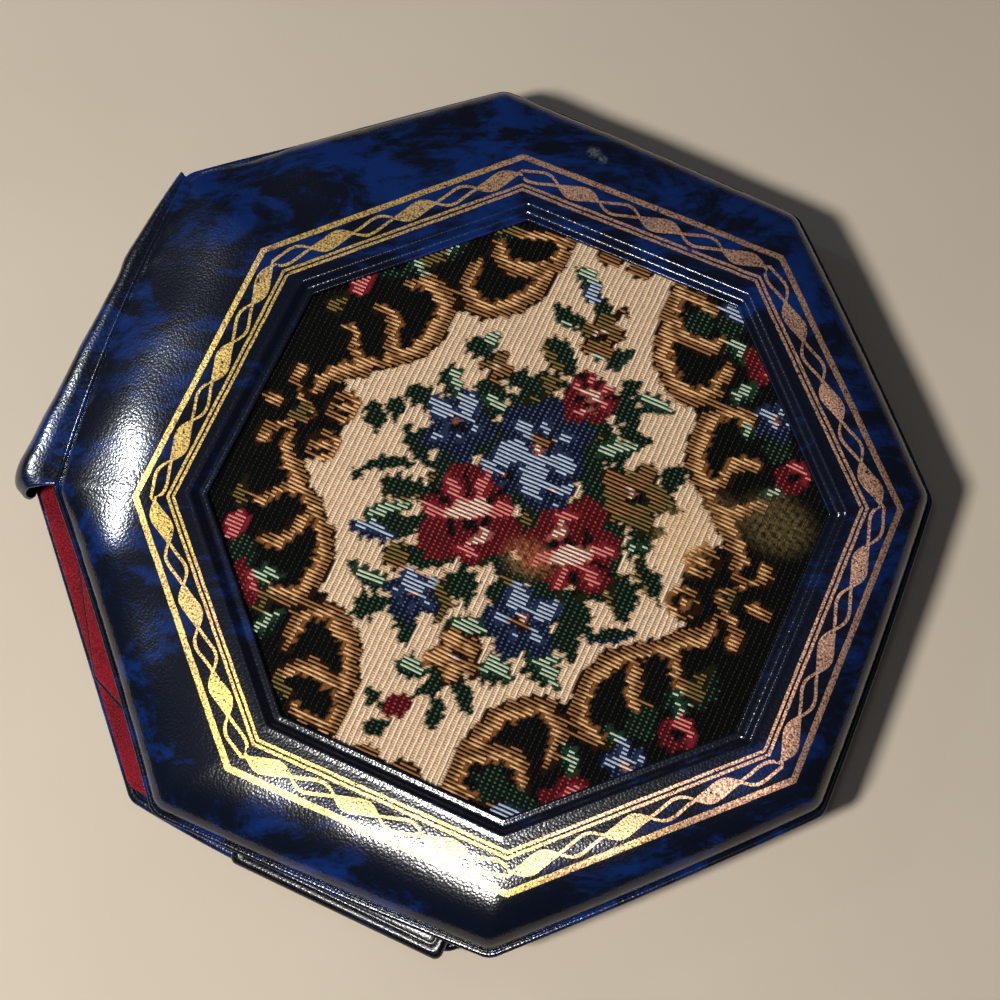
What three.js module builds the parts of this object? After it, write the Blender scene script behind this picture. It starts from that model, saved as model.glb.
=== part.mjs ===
// Octagonal folding jewelry case with a padded lid, an inlaid tapestry panel and a soft spine.
// Lengths are in mm and +Z is up. The spine lies along Y on the -X side and the lid is closed.
// While it is built, x = y = 0 is the middle of the tapestry window and z = 0 is the underside.
import * as THREE from 'three';

// Octagons: side k runs anticlockwise from corner k, and the spine's side faces -X
const SIDES = 8;
const SPINE_SIDE = SIDES / 2 - 1;
const HALF_TURN_OF_SIDE = Math.PI / SIDES;
const CORNER_STEPS = 3;
const SIDE_STEPS = 3;
const CORNER_ROUNDING = 3;
const INNER_CORNER_ROUNDING = 0.8;

// Lid, seen from above: a worn octagon whose corners have slipped a little, and whose tapestry
// window stands nearer the free edge than the spine. Corners count anticlockwise from the one
// just above +X.
const LID_ACROSS_FLATS = 117;
const LID_CENTRE = new THREE.Vector2(-5.6, 1.9);
const LID_CORNER_SLIPS = [
  [-0.4, 0], [0.3, -1.5], [0.3, -0.2], [-3.0, 1.2],
  [2.5, -1.4], [2.6, -1.9], [3.4, 0.0], [1.9, 1.4],
];
const LID_SIDE_BOW = 0.3;
const WINDOW_ACROSS_FLATS = 79.3;

// Lid, in section
const TOTAL_HEIGHT = 15;
const LID_RIM_TOP = 9.5;
const RIM_THICKNESS = 1.1;
const RIM_WIDTH = 1.8;
const LID_WALL = 3;
const CREST_OUTSIDE_WINDOW = 5.5;
const PUFF_STEPS = 6;
const GROOVE_OUTSIDE_WINDOW = 2.2;
const WINDOW_EDGE_DROP = 0.9;
const WINDOW_LIP_THICKNESS = 1;

// Tapestry panel, held under the window's lip
const PANEL_OVERLAP = 2.6;
const PANEL_EDGE_THICKNESS = 1;
const PANEL_CROWN = 0.9;
const PANEL_CROWN_STEPS = 4;

// Base: the same octagon as the lid's, before its corners slipped, lying nearer the spine
const BASE_SHIFT = new THREE.Vector2(-2.6, -1.6);
const BASE_SIDE_BOW = 1.1;
const BASE_THICKNESS = 2.4;
const BASE_PAD_INSET = 6;

// Linings and the inner leaf
const LINING_THICKNESS = 0.8;
const LINING_INSET = 1.1;
const LEAF_INSET = 1.6;
const LEAF_BACK_THICKNESS = 0.6;
const LEAF_WELD_WIDTH = 1.2;
const LEAF_CUT_CORNER = SPINE_SIDE + 2;
const LEAF_CUT_SLANT = 17;
const LEAF_CUT_FLAT = 15;

// Tongue: a flat padded strip whose squared end stands past the rim on the -Y side
const TONGUE_WIDTH = 31.5;
const TONGUE_LENGTH = 34;
const TONGUE_THICKNESS = 1.6;
const TONGUE_PAST_LEAF = 3;
const TONGUE_FROM_BASE_MIDDLE = 8.45;
const TONGUE_END_ROUNDING = 0.8;

// Spine fold, from the base's rim round to the lid's rim
const FOLD_THICKNESS = 0.9;
const FOLD_STEPS_ROUND = 9;
const FOLD_STEPS_ALONG = 10;
const FOLD_BULGE = 2.2;
const FOLD_BOW = 1.3;
const FOLD_END_INSET = 2;

// Clearances
const LAYER_GAP = 0.25;
const EDGE_GAP = 0.3;

const COLOURS = {
  vinyl: { color: 0x0b1a4a, roughness: 0.25, metalness: 0 },
  darkVinyl: { color: 0x080d22, roughness: 0.35, metalness: 0 },
  velour: { color: 0x9c0f24, roughness: 0.95, metalness: 0 },
  tapestry: { color: 0xc9a883, roughness: 0.9, metalness: 0 },
};

// Corners of an octagon with flat sides facing the axes
function octagon(centre, acrossFlats, slips) {
  const reach = acrossFlats / 2 / Math.cos(HALF_TURN_OF_SIDE);
  return Array.from({ length: SIDES }, (_, k) => {
    const angle = (2 * k + 1) * HALF_TURN_OF_SIDE;
    const corner = new THREE.Vector2(Math.cos(angle), Math.sin(angle));
    corner.multiplyScalar(reach).add(centre);
    return slips ? corner.add(new THREE.Vector2(...slips[k])) : corner;
  });
}

// The same polygon with every side moved outward by a distance, or inward by a negative one
function offset(corners, distance) {
  const count = corners.length;
  return corners.map((corner, k) => {
    const before = corner.clone().sub(corners[(k + count - 1) % count]).normalize();
    const after = corners[(k + 1) % count].clone().sub(corner).normalize();
    const outward = new THREE.Vector2(before.y + after.y, -before.x - after.x).normalize();
    const lean = new THREE.Vector2(after.y, -after.x).dot(outward);
    return corner.clone().addScaledVector(outward, distance / lean);
  });
}

function between(from, to, share) {
  return from.map((corner, k) => corner.clone().lerp(to[k], share));
}

// Points round a convex polygon at one height, with round corners. Its sides may bow outward,
// but the spine's side stays straight.
function ring(corners, z, rounding, bow = 0) {
  const count = corners.length;
  const points = [];
  const arcs = corners.map((corner, k) => {
    const toBefore = corners[(k + count - 1) % count].clone().sub(corner).normalize();
    const toAfter = corners[(k + 1) % count].clone().sub(corner).normalize();
    const halfAngle = Math.acos(THREE.MathUtils.clamp(toBefore.dot(toAfter), -1, 1)) / 2;
    const setBack = rounding / Math.tan(halfAngle);
    const start = corner.clone().addScaledVector(toBefore, setBack);
    const inward = toBefore.clone().add(toAfter).normalize();
    const centre = corner.clone().addScaledVector(inward, rounding / Math.sin(halfAngle));
    const sweep = Math.PI - 2 * halfAngle;
    return Array.from({ length: CORNER_STEPS + 1 }, (_, step) =>
      start.clone().rotateAround(centre, (sweep * step) / CORNER_STEPS));
  });
  arcs.forEach((arc, k) => {
    points.push(...arc);
    const start = arc[arc.length - 1];
    const end = arcs[(k + 1) % count][0];
    const along = end.clone().sub(start).normalize();
    const outward = new THREE.Vector2(along.y, -along.x);
    for (let step = 1; step < SIDE_STEPS + 1; step += 1) {
      const share = step / (SIDE_STEPS + 1);
      const rise = k === SPINE_SIDE ? 0 : bow * 4 * share * (1 - share);
      points.push(start.clone().lerp(end, share).addScaledVector(outward, rise));
    }
  });
  return points.map((point) => new THREE.Vector3(point.x, point.y, z));
}

// Closed mesh through rings that start underneath, run outward, up and back inward on top.
// It is capped at both ends, or its last ring joins its first where there is a hole through it.
function loft(rings, isRingShaped = false) {
  const count = rings[0].length;
  const positions = rings.flatMap((points) => points.flatMap((p) => [p.x, p.y, p.z]));
  const indices = [];
  const bands = isRingShaped ? rings.length : rings.length - 1;
  for (let band = 0; band < bands; band += 1) {
    const low = band * count;
    const high = ((band + 1) % rings.length) * count;
    for (let i = 0; i < count; i += 1) {
      const next = (i + 1) % count;
      indices.push(low + i, low + next, high + next, low + i, high + next, high + i);
    }
  }
  if (!isRingShaped) {
    const last = (rings.length - 1) * count;
    const middles = [rings[0], rings[rings.length - 1]].map((points) => {
      const middle = new THREE.Vector3();
      points.forEach((p) => middle.addScaledVector(p, 1 / count));
      positions.push(middle.x, middle.y, middle.z);
      return positions.length / 3 - 1;
    });
    for (let i = 0; i < count; i += 1) {
      const next = (i + 1) % count;
      indices.push(middles[0], next, i, middles[1], last + i, last + next);
    }
  }
  const geometry = new THREE.BufferGeometry();
  geometry.setAttribute('position', new THREE.Float32BufferAttribute(positions, 3));
  geometry.setIndex(indices);
  geometry.computeVertexNormals();
  return geometry;
}

function piece(name, geometry, colours) {
  const mesh = new THREE.Mesh(geometry, new THREE.MeshStandardMaterial(colours));
  mesh.name = name;
  return mesh;
}

function sheet(corners, low, thickness, rounding, bow) {
  return loft([ring(corners, low, rounding, bow), ring(corners, low + thickness, rounding, bow)]);
}

// Outlines shared by the pieces
const lidRim = octagon(LID_CENTRE, LID_ACROSS_FLATS, LID_CORNER_SLIPS);
const tapestryWindow = octagon(new THREE.Vector2(), WINDOW_ACROSS_FLATS);
const baseRim = octagon(LID_CENTRE.clone().add(BASE_SHIFT), LID_ACROSS_FLATS);
const lidRimUnderside = LID_RIM_TOP - RIM_THICKNESS;
const lidInside = TOTAL_HEIGHT - LID_WALL;

// Rings along a quarter of an ellipse, from a low outer outline up to a high inner one.
// Their rounded corners and bowed sides fade out towards the inner outline.
function puff(outer, inner, lowZ, highZ, bow) {
  return Array.from({ length: PUFF_STEPS + 1 }, (_, step) => {
    const angle = (step / PUFF_STEPS) * (Math.PI / 2);
    const inward = 1 - Math.cos(angle);
    const corners = between(outer, inner, inward);
    const z = lowZ + (highZ - lowZ) * Math.sin(angle);
    const softness = THREE.MathUtils.lerp(CORNER_ROUNDING, INNER_CORNER_ROUNDING, inward);
    return ring(corners, z, softness, bow * (1 - inward));
  });
}

const rimRing = (corners, z) => ring(corners, z, CORNER_ROUNDING, LID_SIDE_BOW);
const windowRing = (corners, z) => ring(corners, z, INNER_CORNER_ROUNDING);

function lidCover() {
  const rimInner = offset(lidRim, -RIM_WIDTH);
  const crest = offset(tapestryWindow, CREST_OUTSIDE_WINDOW);
  const groove = offset(tapestryWindow, GROOVE_OUTSIDE_WINDOW);
  const seat = offset(tapestryWindow, PANEL_OVERLAP + EDGE_GAP);
  const wallRimInner = offset(lidRim, -RIM_WIDTH - LID_WALL / 2);
  const edgeTop = TOTAL_HEIGHT - WINDOW_EDGE_DROP;
  const seatTop = edgeTop - WINDOW_LIP_THICKNESS;
  const underside = puff(wallRimInner, crest, lidRimUnderside, lidInside, LID_SIDE_BOW);
  const top = puff(rimInner, crest, LID_RIM_TOP, TOTAL_HEIGHT, LID_SIDE_BOW);
  const rings = [
    windowRing(tapestryWindow, seatTop),
    windowRing(seat, seatTop),
    windowRing(seat, lidInside),
    ...underside.reverse(),
    rimRing(lidRim, lidRimUnderside),
    rimRing(lidRim, LID_RIM_TOP),
    ...top,
    windowRing(groove, TOTAL_HEIGHT),
    windowRing(tapestryWindow, edgeTop),
  ];
  return piece('lid_cover', loft(rings, true), COLOURS.vinyl);
}

function tapestryPanel() {
  const top = TOTAL_HEIGHT - WINDOW_EDGE_DROP - WINDOW_LIP_THICKNESS - LAYER_GAP;
  const edge = offset(tapestryWindow, PANEL_OVERLAP);
  const crownFoot = offset(tapestryWindow, -EDGE_GAP);
  const rings = [windowRing(edge, top - PANEL_EDGE_THICKNESS), windowRing(edge, top)];
  for (let step = 0; step < PANEL_CROWN_STEPS; step += 1) {
    const left = 1 - step / PANEL_CROWN_STEPS;
    const corners = crownFoot.map((corner) => corner.clone().multiplyScalar(left));
    rings.push(windowRing(corners, top + PANEL_CROWN * (1 - left ** 2)));
  }
  return piece('tapestry_panel', loft(rings), COLOURS.tapestry);
}

// A dished sheet that lines the lid, flat under its rim and rising under its padding
function lidLining() {
  const edge = offset(lidRim, -LINING_INSET);
  const rise = offset(lidRim, -RIM_WIDTH - LID_WALL / 2 - EDGE_GAP);
  const crest = offset(tapestryWindow, CREST_OUTSIDE_WINDOW - EDGE_GAP);
  const rimTop = lidRimUnderside - LAYER_GAP;
  const crestTop = lidInside - LAYER_GAP;
  const underside = puff(
    offset(rise, -LINING_THICKNESS), offset(crest, -LINING_THICKNESS),
    rimTop - LINING_THICKNESS, crestTop - LINING_THICKNESS, LID_SIDE_BOW);
  const rings = [
    ...underside.reverse(),
    rimRing(edge, rimTop - LINING_THICKNESS),
    rimRing(edge, rimTop),
    ...puff(rise, crest, rimTop, crestTop, LID_SIDE_BOW),
  ];
  return piece('lid_lining', loft(rings), COLOURS.velour);
}

// Flat inside, padded underneath, with a thin welded rim that stands clear of the table
function baseCover() {
  const padEdge = offset(baseRim, -RIM_WIDTH);
  const foot = offset(baseRim, -BASE_PAD_INSET);
  const rimUnderside = BASE_THICKNESS - RIM_THICKNESS;
  const pad = puff(padEdge, foot, rimUnderside, 0, BASE_SIDE_BOW);
  const rings = [
    ...pad.reverse(),
    ring(baseRim, rimUnderside, CORNER_ROUNDING, BASE_SIDE_BOW),
    ring(baseRim, BASE_THICKNESS, CORNER_ROUNDING, BASE_SIDE_BOW),
  ];
  return piece('base_cover', loft(rings), COLOURS.vinyl);
}

const liningLow = BASE_THICKNESS + LAYER_GAP;
const leafBackLow = liningLow + LINING_THICKNESS + LAYER_GAP;
const leafVelourLow = leafBackLow + LEAF_BACK_THICKNESS + LAYER_GAP;
const tongueLow = leafVelourLow + LINING_THICKNESS + LAYER_GAP;

function baseLining() {
  const corners = offset(baseRim, -LINING_INSET);
  const geometry = sheet(corners, liningLow, LINING_THICKNESS, CORNER_ROUNDING, BASE_SIDE_BOW);
  return piece('base_lining', geometry, COLOURS.velour);
}

// The leaf follows the base, but its corner before the -Y side is cut across
function leafOutline() {
  const corners = offset(baseRim, -LEAF_INSET);
  const corner = corners[LEAF_CUT_CORNER];
  const towards = (k) => corners[LEAF_CUT_CORNER + k].clone().sub(corner).normalize();
  corners.splice(
    LEAF_CUT_CORNER, 1,
    corner.clone().addScaledVector(towards(-1), LEAF_CUT_SLANT),
    corner.clone().addScaledVector(towards(1), LEAF_CUT_FLAT));
  return corners;
}

function leafBack() {
  const corners = leafOutline();
  const geometry = sheet(corners, leafBackLow, LEAF_BACK_THICKNESS, CORNER_ROUNDING);
  return piece('inner_leaf_back', geometry, COLOURS.darkVinyl);
}

function leafVelour() {
  const corners = offset(leafOutline(), -LEAF_WELD_WIDTH);
  const geometry = sheet(corners, leafVelourLow, LINING_THICKNESS, CORNER_ROUNDING);
  return piece('inner_leaf_velour', geometry, COLOURS.velour);
}

function closingTongue() {
  const end = Math.min(...leafOutline().map((corner) => corner.y)) - TONGUE_PAST_LEAF;
  const middle = LID_CENTRE.x + BASE_SHIFT.x + TONGUE_FROM_BASE_MIDDLE;
  const left = middle - TONGUE_WIDTH / 2;
  const right = middle + TONGUE_WIDTH / 2;
  const corners = [
    new THREE.Vector2(left, end),
    new THREE.Vector2(right, end),
    new THREE.Vector2(right, end + TONGUE_LENGTH),
    new THREE.Vector2(left, end + TONGUE_LENGTH),
  ];
  const geometry = sheet(corners, tongueLow, TONGUE_THICKNESS, TONGUE_END_ROUNDING);
  return piece('closing_tongue', geometry, COLOURS.darkVinyl);
}

// Closed mesh between two grids of points, the outer one first
function slab(outer, inner) {
  const rows = outer.length;
  const columns = outer[0].length;
  const positions = [...outer, ...inner].flat().flatMap((p) => [p.x, p.y, p.z]);
  const out = (r, c) => r * columns + c;
  const inn = (r, c) => (rows + r) * columns + c;
  const indices = [];
  const quad = (a, b, c, d) => indices.push(a, b, c, a, c, d);
  for (let r = 0; r < rows - 1; r += 1) {
    for (let c = 0; c < columns - 1; c += 1) {
      quad(out(r, c), out(r, c + 1), out(r + 1, c + 1), out(r + 1, c));
      quad(inn(r, c), inn(r + 1, c), inn(r + 1, c + 1), inn(r, c + 1));
    }
  }
  const wall = (from, to) => quad(inn(...from), inn(...to), out(...to), out(...from));
  for (let c = 0; c < columns - 1; c += 1) {
    wall([0, c], [0, c + 1]);
    wall([rows - 1, c + 1], [rows - 1, c]);
  }
  for (let r = 0; r < rows - 1; r += 1) {
    wall([r, columns - 1], [r + 1, columns - 1]);
    wall([r + 1, 0], [r, 0]);
  }
  const geometry = new THREE.BufferGeometry();
  geometry.setAttribute('position', new THREE.Float32BufferAttribute(positions, 3));
  geometry.setIndex(indices);
  geometry.computeVertexNormals();
  return geometry;
}

// A C-shaped band that turns from the base's rim outward and up to the lid's rim
function spineFold() {
  const high = (rim) => rim[SPINE_SIDE];
  const low = (rim) => rim[SPINE_SIDE + 1];
  const length = high(baseRim).distanceTo(low(baseRim));
  const firstShare = FOLD_END_INSET / length;
  const baseZ = BASE_THICKNESS - RIM_THICKNESS + FOLD_THICKNESS / 2;
  const lidZ = lidRimUnderside + RIM_THICKNESS / 2;
  const grids = [FOLD_THICKNESS / 2, -FOLD_THICKNESS / 2].map((side) =>
    Array.from({ length: FOLD_STEPS_ALONG + 1 }, (_, row) => {
      const share = THREE.MathUtils.lerp(firstShare, 1 - firstShare, row / FOLD_STEPS_ALONG);
      const lidEdge = low(lidRim).clone().lerp(high(lidRim), share);
      const baseEdge = low(baseRim).clone().lerp(high(baseRim), share);
      const bow = FOLD_BOW * 4 * share * (1 - share);
      const outermost = baseEdge.x - FOLD_BULGE - bow + FOLD_THICKNESS / 2;
      const depth = (baseEdge.x + lidEdge.x) / 2 - EDGE_GAP - outermost;
      return Array.from({ length: FOLD_STEPS_ROUND + 1 }, (_, column) => {
        const angle = (column / FOLD_STEPS_ROUND) * Math.PI - Math.PI / 2;
        const up = (1 + Math.sin(angle)) / 2;
        const line = new THREE.Vector3(
          THREE.MathUtils.lerp(baseEdge.x, lidEdge.x, up) - EDGE_GAP - depth * Math.cos(angle),
          THREE.MathUtils.lerp(baseEdge.y, lidEdge.y, up),
          THREE.MathUtils.lerp(baseZ, lidZ, up));
        const outward = new THREE.Vector3(-Math.cos(angle), 0, Math.sin(angle));
        return line.addScaledVector(outward, side);
      });
    }));
  return piece('spine_fold', slab(...grids), COLOURS.vinyl);
}

const jewelryCase = new THREE.Group();
jewelryCase.add(
  baseCover(), baseLining(), leafBack(), leafVelour(), closingTongue(), spineFold(),
  lidCover(), tapestryPanel(), lidLining());

// The finished case stands with the middle of its box on the origin
const extent = new THREE.Box3().setFromObject(jewelryCase);
const middle = extent.getCenter(new THREE.Vector3());
jewelryCase.position.set(-middle.x, -middle.y, -extent.min.z);

export default jewelryCase;
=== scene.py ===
# %% [markdown]
# # An octagonal folding jewelry case
# A small padded case lies closed on a table. Its lid has a marbled vinyl skin, a stamped gold
# border and a woven tapestry in a window. A flexible spine joins the lid to the base on the left,
# and the lining, the inner leaf and the closing tongue show at the worn edges.
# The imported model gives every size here, and this file gives each piece its real surface.

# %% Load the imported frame
import math
import bmesh
import bpy
import numpy as np
from mathutils import Matrix, Vector


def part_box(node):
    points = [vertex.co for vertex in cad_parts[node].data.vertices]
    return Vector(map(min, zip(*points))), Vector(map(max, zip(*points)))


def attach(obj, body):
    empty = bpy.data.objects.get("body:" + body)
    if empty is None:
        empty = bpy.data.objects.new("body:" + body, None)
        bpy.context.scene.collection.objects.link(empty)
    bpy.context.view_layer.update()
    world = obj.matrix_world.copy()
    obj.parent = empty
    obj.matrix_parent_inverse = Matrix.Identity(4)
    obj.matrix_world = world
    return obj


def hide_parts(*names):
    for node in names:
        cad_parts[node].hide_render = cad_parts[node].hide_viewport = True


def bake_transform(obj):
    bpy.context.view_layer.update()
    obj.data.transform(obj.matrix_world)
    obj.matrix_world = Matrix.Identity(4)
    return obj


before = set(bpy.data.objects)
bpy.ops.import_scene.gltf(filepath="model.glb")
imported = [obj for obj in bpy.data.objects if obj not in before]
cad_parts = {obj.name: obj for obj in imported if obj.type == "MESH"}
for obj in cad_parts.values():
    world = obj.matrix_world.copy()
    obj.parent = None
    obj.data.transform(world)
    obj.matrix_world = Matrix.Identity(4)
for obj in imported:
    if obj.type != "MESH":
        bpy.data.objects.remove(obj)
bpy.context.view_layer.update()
MM = 0.001
print("nodes:", sorted(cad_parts))

# %% [markdown]
# ## Sizes
# The lid and the base are octagons that have worn out of true in different ways. The numbers
# that the frame can give are read from its boxes. The others, such as how far each corner has
# slipped, are the case's own driving dimensions, in millimetres.

# %% Driving dimensions
SIDES = 8
SPINE_SIDE = SIDES // 2 - 1
LID_ACROSS_FLATS = 117
LID_CENTRE_FROM_WINDOW = np.array([-5.6, 1.9])
LID_CORNER_SLIPS = np.array([
    [-0.4, 0], [0.3, -1.5], [0.3, -0.2], [-3.0, 1.2],
    [2.5, -1.4], [2.6, -1.9], [3.4, 0.0], [1.9, 1.4]])
LID_SIDE_BOWS = 0.3 * np.array([1, 1, 1, 4, -1.3, 1, 1, 1])
BASE_SHIFT = np.array([-2.6, -1.6])
BASE_SIDE_BOWS = 1.1 * np.array([1, 1, 1, 0, 0, 1, 1, 1])
RIM_WIDTH = 1.8
RIM_THICKNESS = 1.1
LID_WALL = 3
CREST_OUTSIDE_WINDOW = 5.5
CREASE_OUTSIDE_WINDOW = 2.2
WINDOW_EDGE_DROP = 0.9
PANEL_OVERLAP = 2.6
PANEL_CROWN = 0.9
CORNER_ROUNDING = 3
INNER_CORNER_ROUNDING = 0.8


def box_mm(node):
    low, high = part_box(node)
    return np.array(low) / MM, np.array(high) / MM


panel_low, panel_high = box_mm("tapestry_panel")
lid_low, lid_high = box_mm("lid_cover")
base_low, base_high = box_mm("base_cover")
window_centre = ((panel_low + panel_high) / 2)[:2]
WINDOW_ACROSS_FLATS = panel_high[0] - panel_low[0] - 2 * PANEL_OVERLAP
lid_top = lid_high[2]
rim_underside = lid_low[2]
lid_centre = window_centre + LID_CENTRE_FROM_WINDOW
base_centre = lid_centre + BASE_SHIFT
print("window centre", window_centre.round(2), "across flats", round(WINDOW_ACROSS_FLATS, 2))

# %% [markdown]
# ## Camera
# The camera stands almost over the case, turned so that the spine lies on the left of the image.
# Its place is given by the point it looks at, its distance and three angles.

# %% Camera
CAMERA_LOOKS_AT = Vector((3.468, 3.013, 0)) * MM
CAMERA_DISTANCE = 255.462 * MM
CAMERA_AZIMUTH = math.radians(28.903)
CAMERA_ELEVATION = math.radians(73.455)
CAMERA_ROLL = math.radians(-4.26)
CAMERA_FIELD_OF_VIEW = math.radians(32)


def camera_axes(azimuth, elevation, roll):
    back = Vector((
        math.sin(azimuth) * math.cos(elevation),
        -math.cos(azimuth) * math.cos(elevation),
        math.sin(elevation)))
    right = Vector((math.cos(azimuth), math.sin(azimuth), 0))
    up = back.cross(right)
    turned_right = math.cos(roll) * right + math.sin(roll) * up
    turned_up = math.cos(roll) * up - math.sin(roll) * right
    return turned_right, turned_up, back


camera_right, camera_up, camera_back = camera_axes(CAMERA_AZIMUTH, CAMERA_ELEVATION, CAMERA_ROLL)
camera_data = bpy.data.cameras.new("camera")
camera_data.sensor_width = 36
camera_data.angle = CAMERA_FIELD_OF_VIEW
camera_data.clip_start = 0.01
camera = bpy.data.objects.new("camera", camera_data)
camera_place = CAMERA_LOOKS_AT + camera_back * CAMERA_DISTANCE
camera.matrix_world = Matrix.Translation(camera_place) @ Matrix(
    (camera_right, camera_up, camera_back)).transposed().to_4x4()
bpy.context.scene.collection.objects.link(camera)
bpy.context.scene.camera = camera
print("camera at", [round(value, 4) for value in camera_place])

# %% [markdown]
# ## Light
# One fairly small, soft key light from the lower left shades the case and throws its short shadow
# to the right, as on the real table. Two small lamps show only in glossy surfaces, as a ceiling
# light and a side lamp would: they make the bright patches on the puffed vinyl and on the foil.
# A weak, plain world fills the shadows.

# %% Lights
WORLD_COLOUR = (0.9, 0.94, 1, 1)
WORLD_STRENGTH = 0.055
LIGHTS = {
    # name: (image right, image up, height, size, watts, colour, in gloss, in diffuse), in metres
    "key": (-0.25, -0.17, 0.42, 0.08, 2.9, (1, 0.96, 0.91), False, True),
    "overhead": (-0.045, -0.075, 0.42, 0.05, 1.7, (1, 0.96, 0.9), True, False),
    "side lamp": (-0.446, 0.222, 0.45, 0.05, 3.2, (0.9, 0.95, 1), True, False),
}
flat_up = Vector((camera_up.x, camera_up.y, 0)).normalized()
flat_right = Vector((camera_right.x, camera_right.y, 0)).normalized()
for name, (across, up, height, size, watts, tint, in_gloss, in_diffuse) in LIGHTS.items():
    light = bpy.data.lights.new(name, "AREA")
    light.shape = "DISK"
    light.size = size
    light.energy = watts
    light.color = tint
    lamp = bpy.data.objects.new(name, light)
    lamp.visible_glossy = in_gloss
    lamp.visible_diffuse = in_diffuse
    place = flat_right * across + flat_up * up + Vector((0, 0, height))
    lamp.matrix_world = Matrix.Translation(place) @ place.to_track_quat("Z", "Y").to_matrix().to_4x4()
    bpy.context.scene.collection.objects.link(lamp)
world = bpy.data.worlds.new("studio")
world.use_nodes = True
world.node_tree.nodes["Background"].inputs["Color"].default_value = WORLD_COLOUR
world.node_tree.nodes["Background"].inputs["Strength"].default_value = WORLD_STRENGTH
bpy.context.scene.world = world
bpy.context.scene.view_settings.view_transform = "Standard"

# %% [markdown]
# ## Building blocks for materials
# Shader trees are easier to read when each effect is a small group with named inputs and
# outputs. The helpers keep the rest short: each adds one node, or one group with its sockets,
# and links whatever it is given, whether sockets or plain numbers.


# %% Helpers for shader trees
def new_group(name, inputs, outputs):
    group = bpy.data.node_groups.new(name, "ShaderNodeTree")
    for socket_name, kind, value in inputs:
        socket = group.interface.new_socket(socket_name, in_out="INPUT", socket_type=kind)
        socket.default_value = value
    for socket_name, kind in outputs:
        group.interface.new_socket(socket_name, in_out="OUTPUT", socket_type=kind)
    given = group.nodes.new("NodeGroupInput")
    result = group.nodes.new("NodeGroupOutput")
    return group, given.outputs, result.inputs


def plug(tree, value, socket):
    if isinstance(value, bpy.types.NodeSocket):
        tree.links.new(value, socket)
    else:
        socket.default_value = value


def calc(tree, operation, *values):
    node = tree.nodes.new("ShaderNodeMath")
    node.operation = operation
    for value, socket in zip(values, node.inputs):
        plug(tree, value, socket)
    return node.outputs[0]


def node_of(tree, kind, **values):
    """A node with its named inputs filled or linked; other names are its settings."""
    node = tree.nodes.new(kind)
    for name, value in values.items():
        label = name.replace("_", " ")
        if label in node.inputs:
            plug(tree, value, node.inputs[label])
        else:
            setattr(node, name, value)
    return node


def mix_colour(tree, share, first, second):
    node = tree.nodes.new("ShaderNodeMix")
    node.data_type = "RGBA"
    plug(tree, share, node.inputs["Factor"])
    plug(tree, first, node.inputs["A"])
    plug(tree, second, node.inputs["B"])
    return node.outputs["Result"]


def remap(tree, value, low, high, to_low=0.0, to_high=1.0):
    node = tree.nodes.new("ShaderNodeMapRange")
    node.interpolation_type = "SMOOTHSTEP"
    for name, given in zip(("Value", "From Min", "From Max", "To Min", "To Max"),
                           (value, low, high, to_low, to_high)):
        plug(tree, given, node.inputs[name])
    return node.outputs["Result"]


def new_material(name):
    material = bpy.data.materials.new(name)
    material.use_nodes = True
    tree = material.node_tree
    return material, tree, tree.nodes["Principled BSDF"]


def add_group(tree, group, **values):
    node = tree.nodes.new("ShaderNodeGroup")
    node.node_tree = group
    for name, value in values.items():
        plug(tree, value, node.inputs[name.replace("_", " ")])
    return node


def colour(red, green, blue):
    """A screen colour from 0 to 255 as the linear colour that shaders take."""
    parts = np.array([red, green, blue]) / 255
    linear = np.where(parts <= 0.04045, parts / 12.92, ((parts + 0.055) / 1.055) ** 2.4)
    return (*[float(value) for value in linear], 1.0)


def object_point(tree):
    return node_of(tree, "ShaderNodeTexCoord").outputs["Object"]


def stored_paint(tree, name):
    """The outputs of a colour or number that is stored on a piece's points."""
    return node_of(tree, "ShaderNodeAttribute", attribute_name=name).outputs


def noise(tree, point, scale, detail=2.0, **values):
    return node_of(tree, "ShaderNodeTexNoise", Vector=point, Scale=scale, Detail=detail,
                   **values).outputs["Fac"]


def add_bump(tree, surface, strength, depth_mm, height):
    bump = node_of(tree, "ShaderNodeBump", Strength=strength, Distance=depth_mm * MM, Height=height)
    plug(tree, bump.outputs["Normal"], surface.inputs["Normal"])


# %% [markdown]
# ## Marbled vinyl
# The skin is thin PVC printed with cloudy royal blue over near-black navy, and embossed with a
# fine pebble grain. The clouds are stretched one way, as the printing roller left them. The grain
# is a small cell pattern that goes to the bump alone, so it shows only where the light catches it.

# %% Group: marbled clouds
marbling, given, result = new_group(
    "marbled clouds",
    [("Point", "NodeSocketVector", (0, 0, 0)),
     ("Dark", "NodeSocketColor", colour(6, 12, 28)),
     ("Royal", "NodeSocketColor", colour(8, 37, 94)),
     ("Cloud size", "NodeSocketFloat", 10.0),
     ("Stretch", "NodeSocketFloat", 2.0),
     ("Cover", "NodeSocketFloat", 0.47)],
    [("Color", "NodeSocketColor")])
CLOUDS_RUN_ALONG = math.radians(29)
turned = node_of(marbling, "ShaderNodeMapping", vector_type="TEXTURE", Vector=given["Point"])
turned.inputs["Rotation"].default_value = (0, 0, CLOUDS_RUN_ALONG)
short = calc(marbling, "MULTIPLY", given["Cloud size"], MM)
long = calc(marbling, "MULTIPLY", given["Cloud size"], calc(marbling, "MULTIPLY", given["Stretch"], MM))
sizes = node_of(marbling, "ShaderNodeCombineXYZ", X=long, Y=short, Z=short)
scaled = node_of(marbling, "ShaderNodeVectorMath", operation="DIVIDE")
plug(marbling, turned.outputs["Vector"], scaled.inputs[0])
plug(marbling, sizes.outputs["Vector"], scaled.inputs[1])
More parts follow.
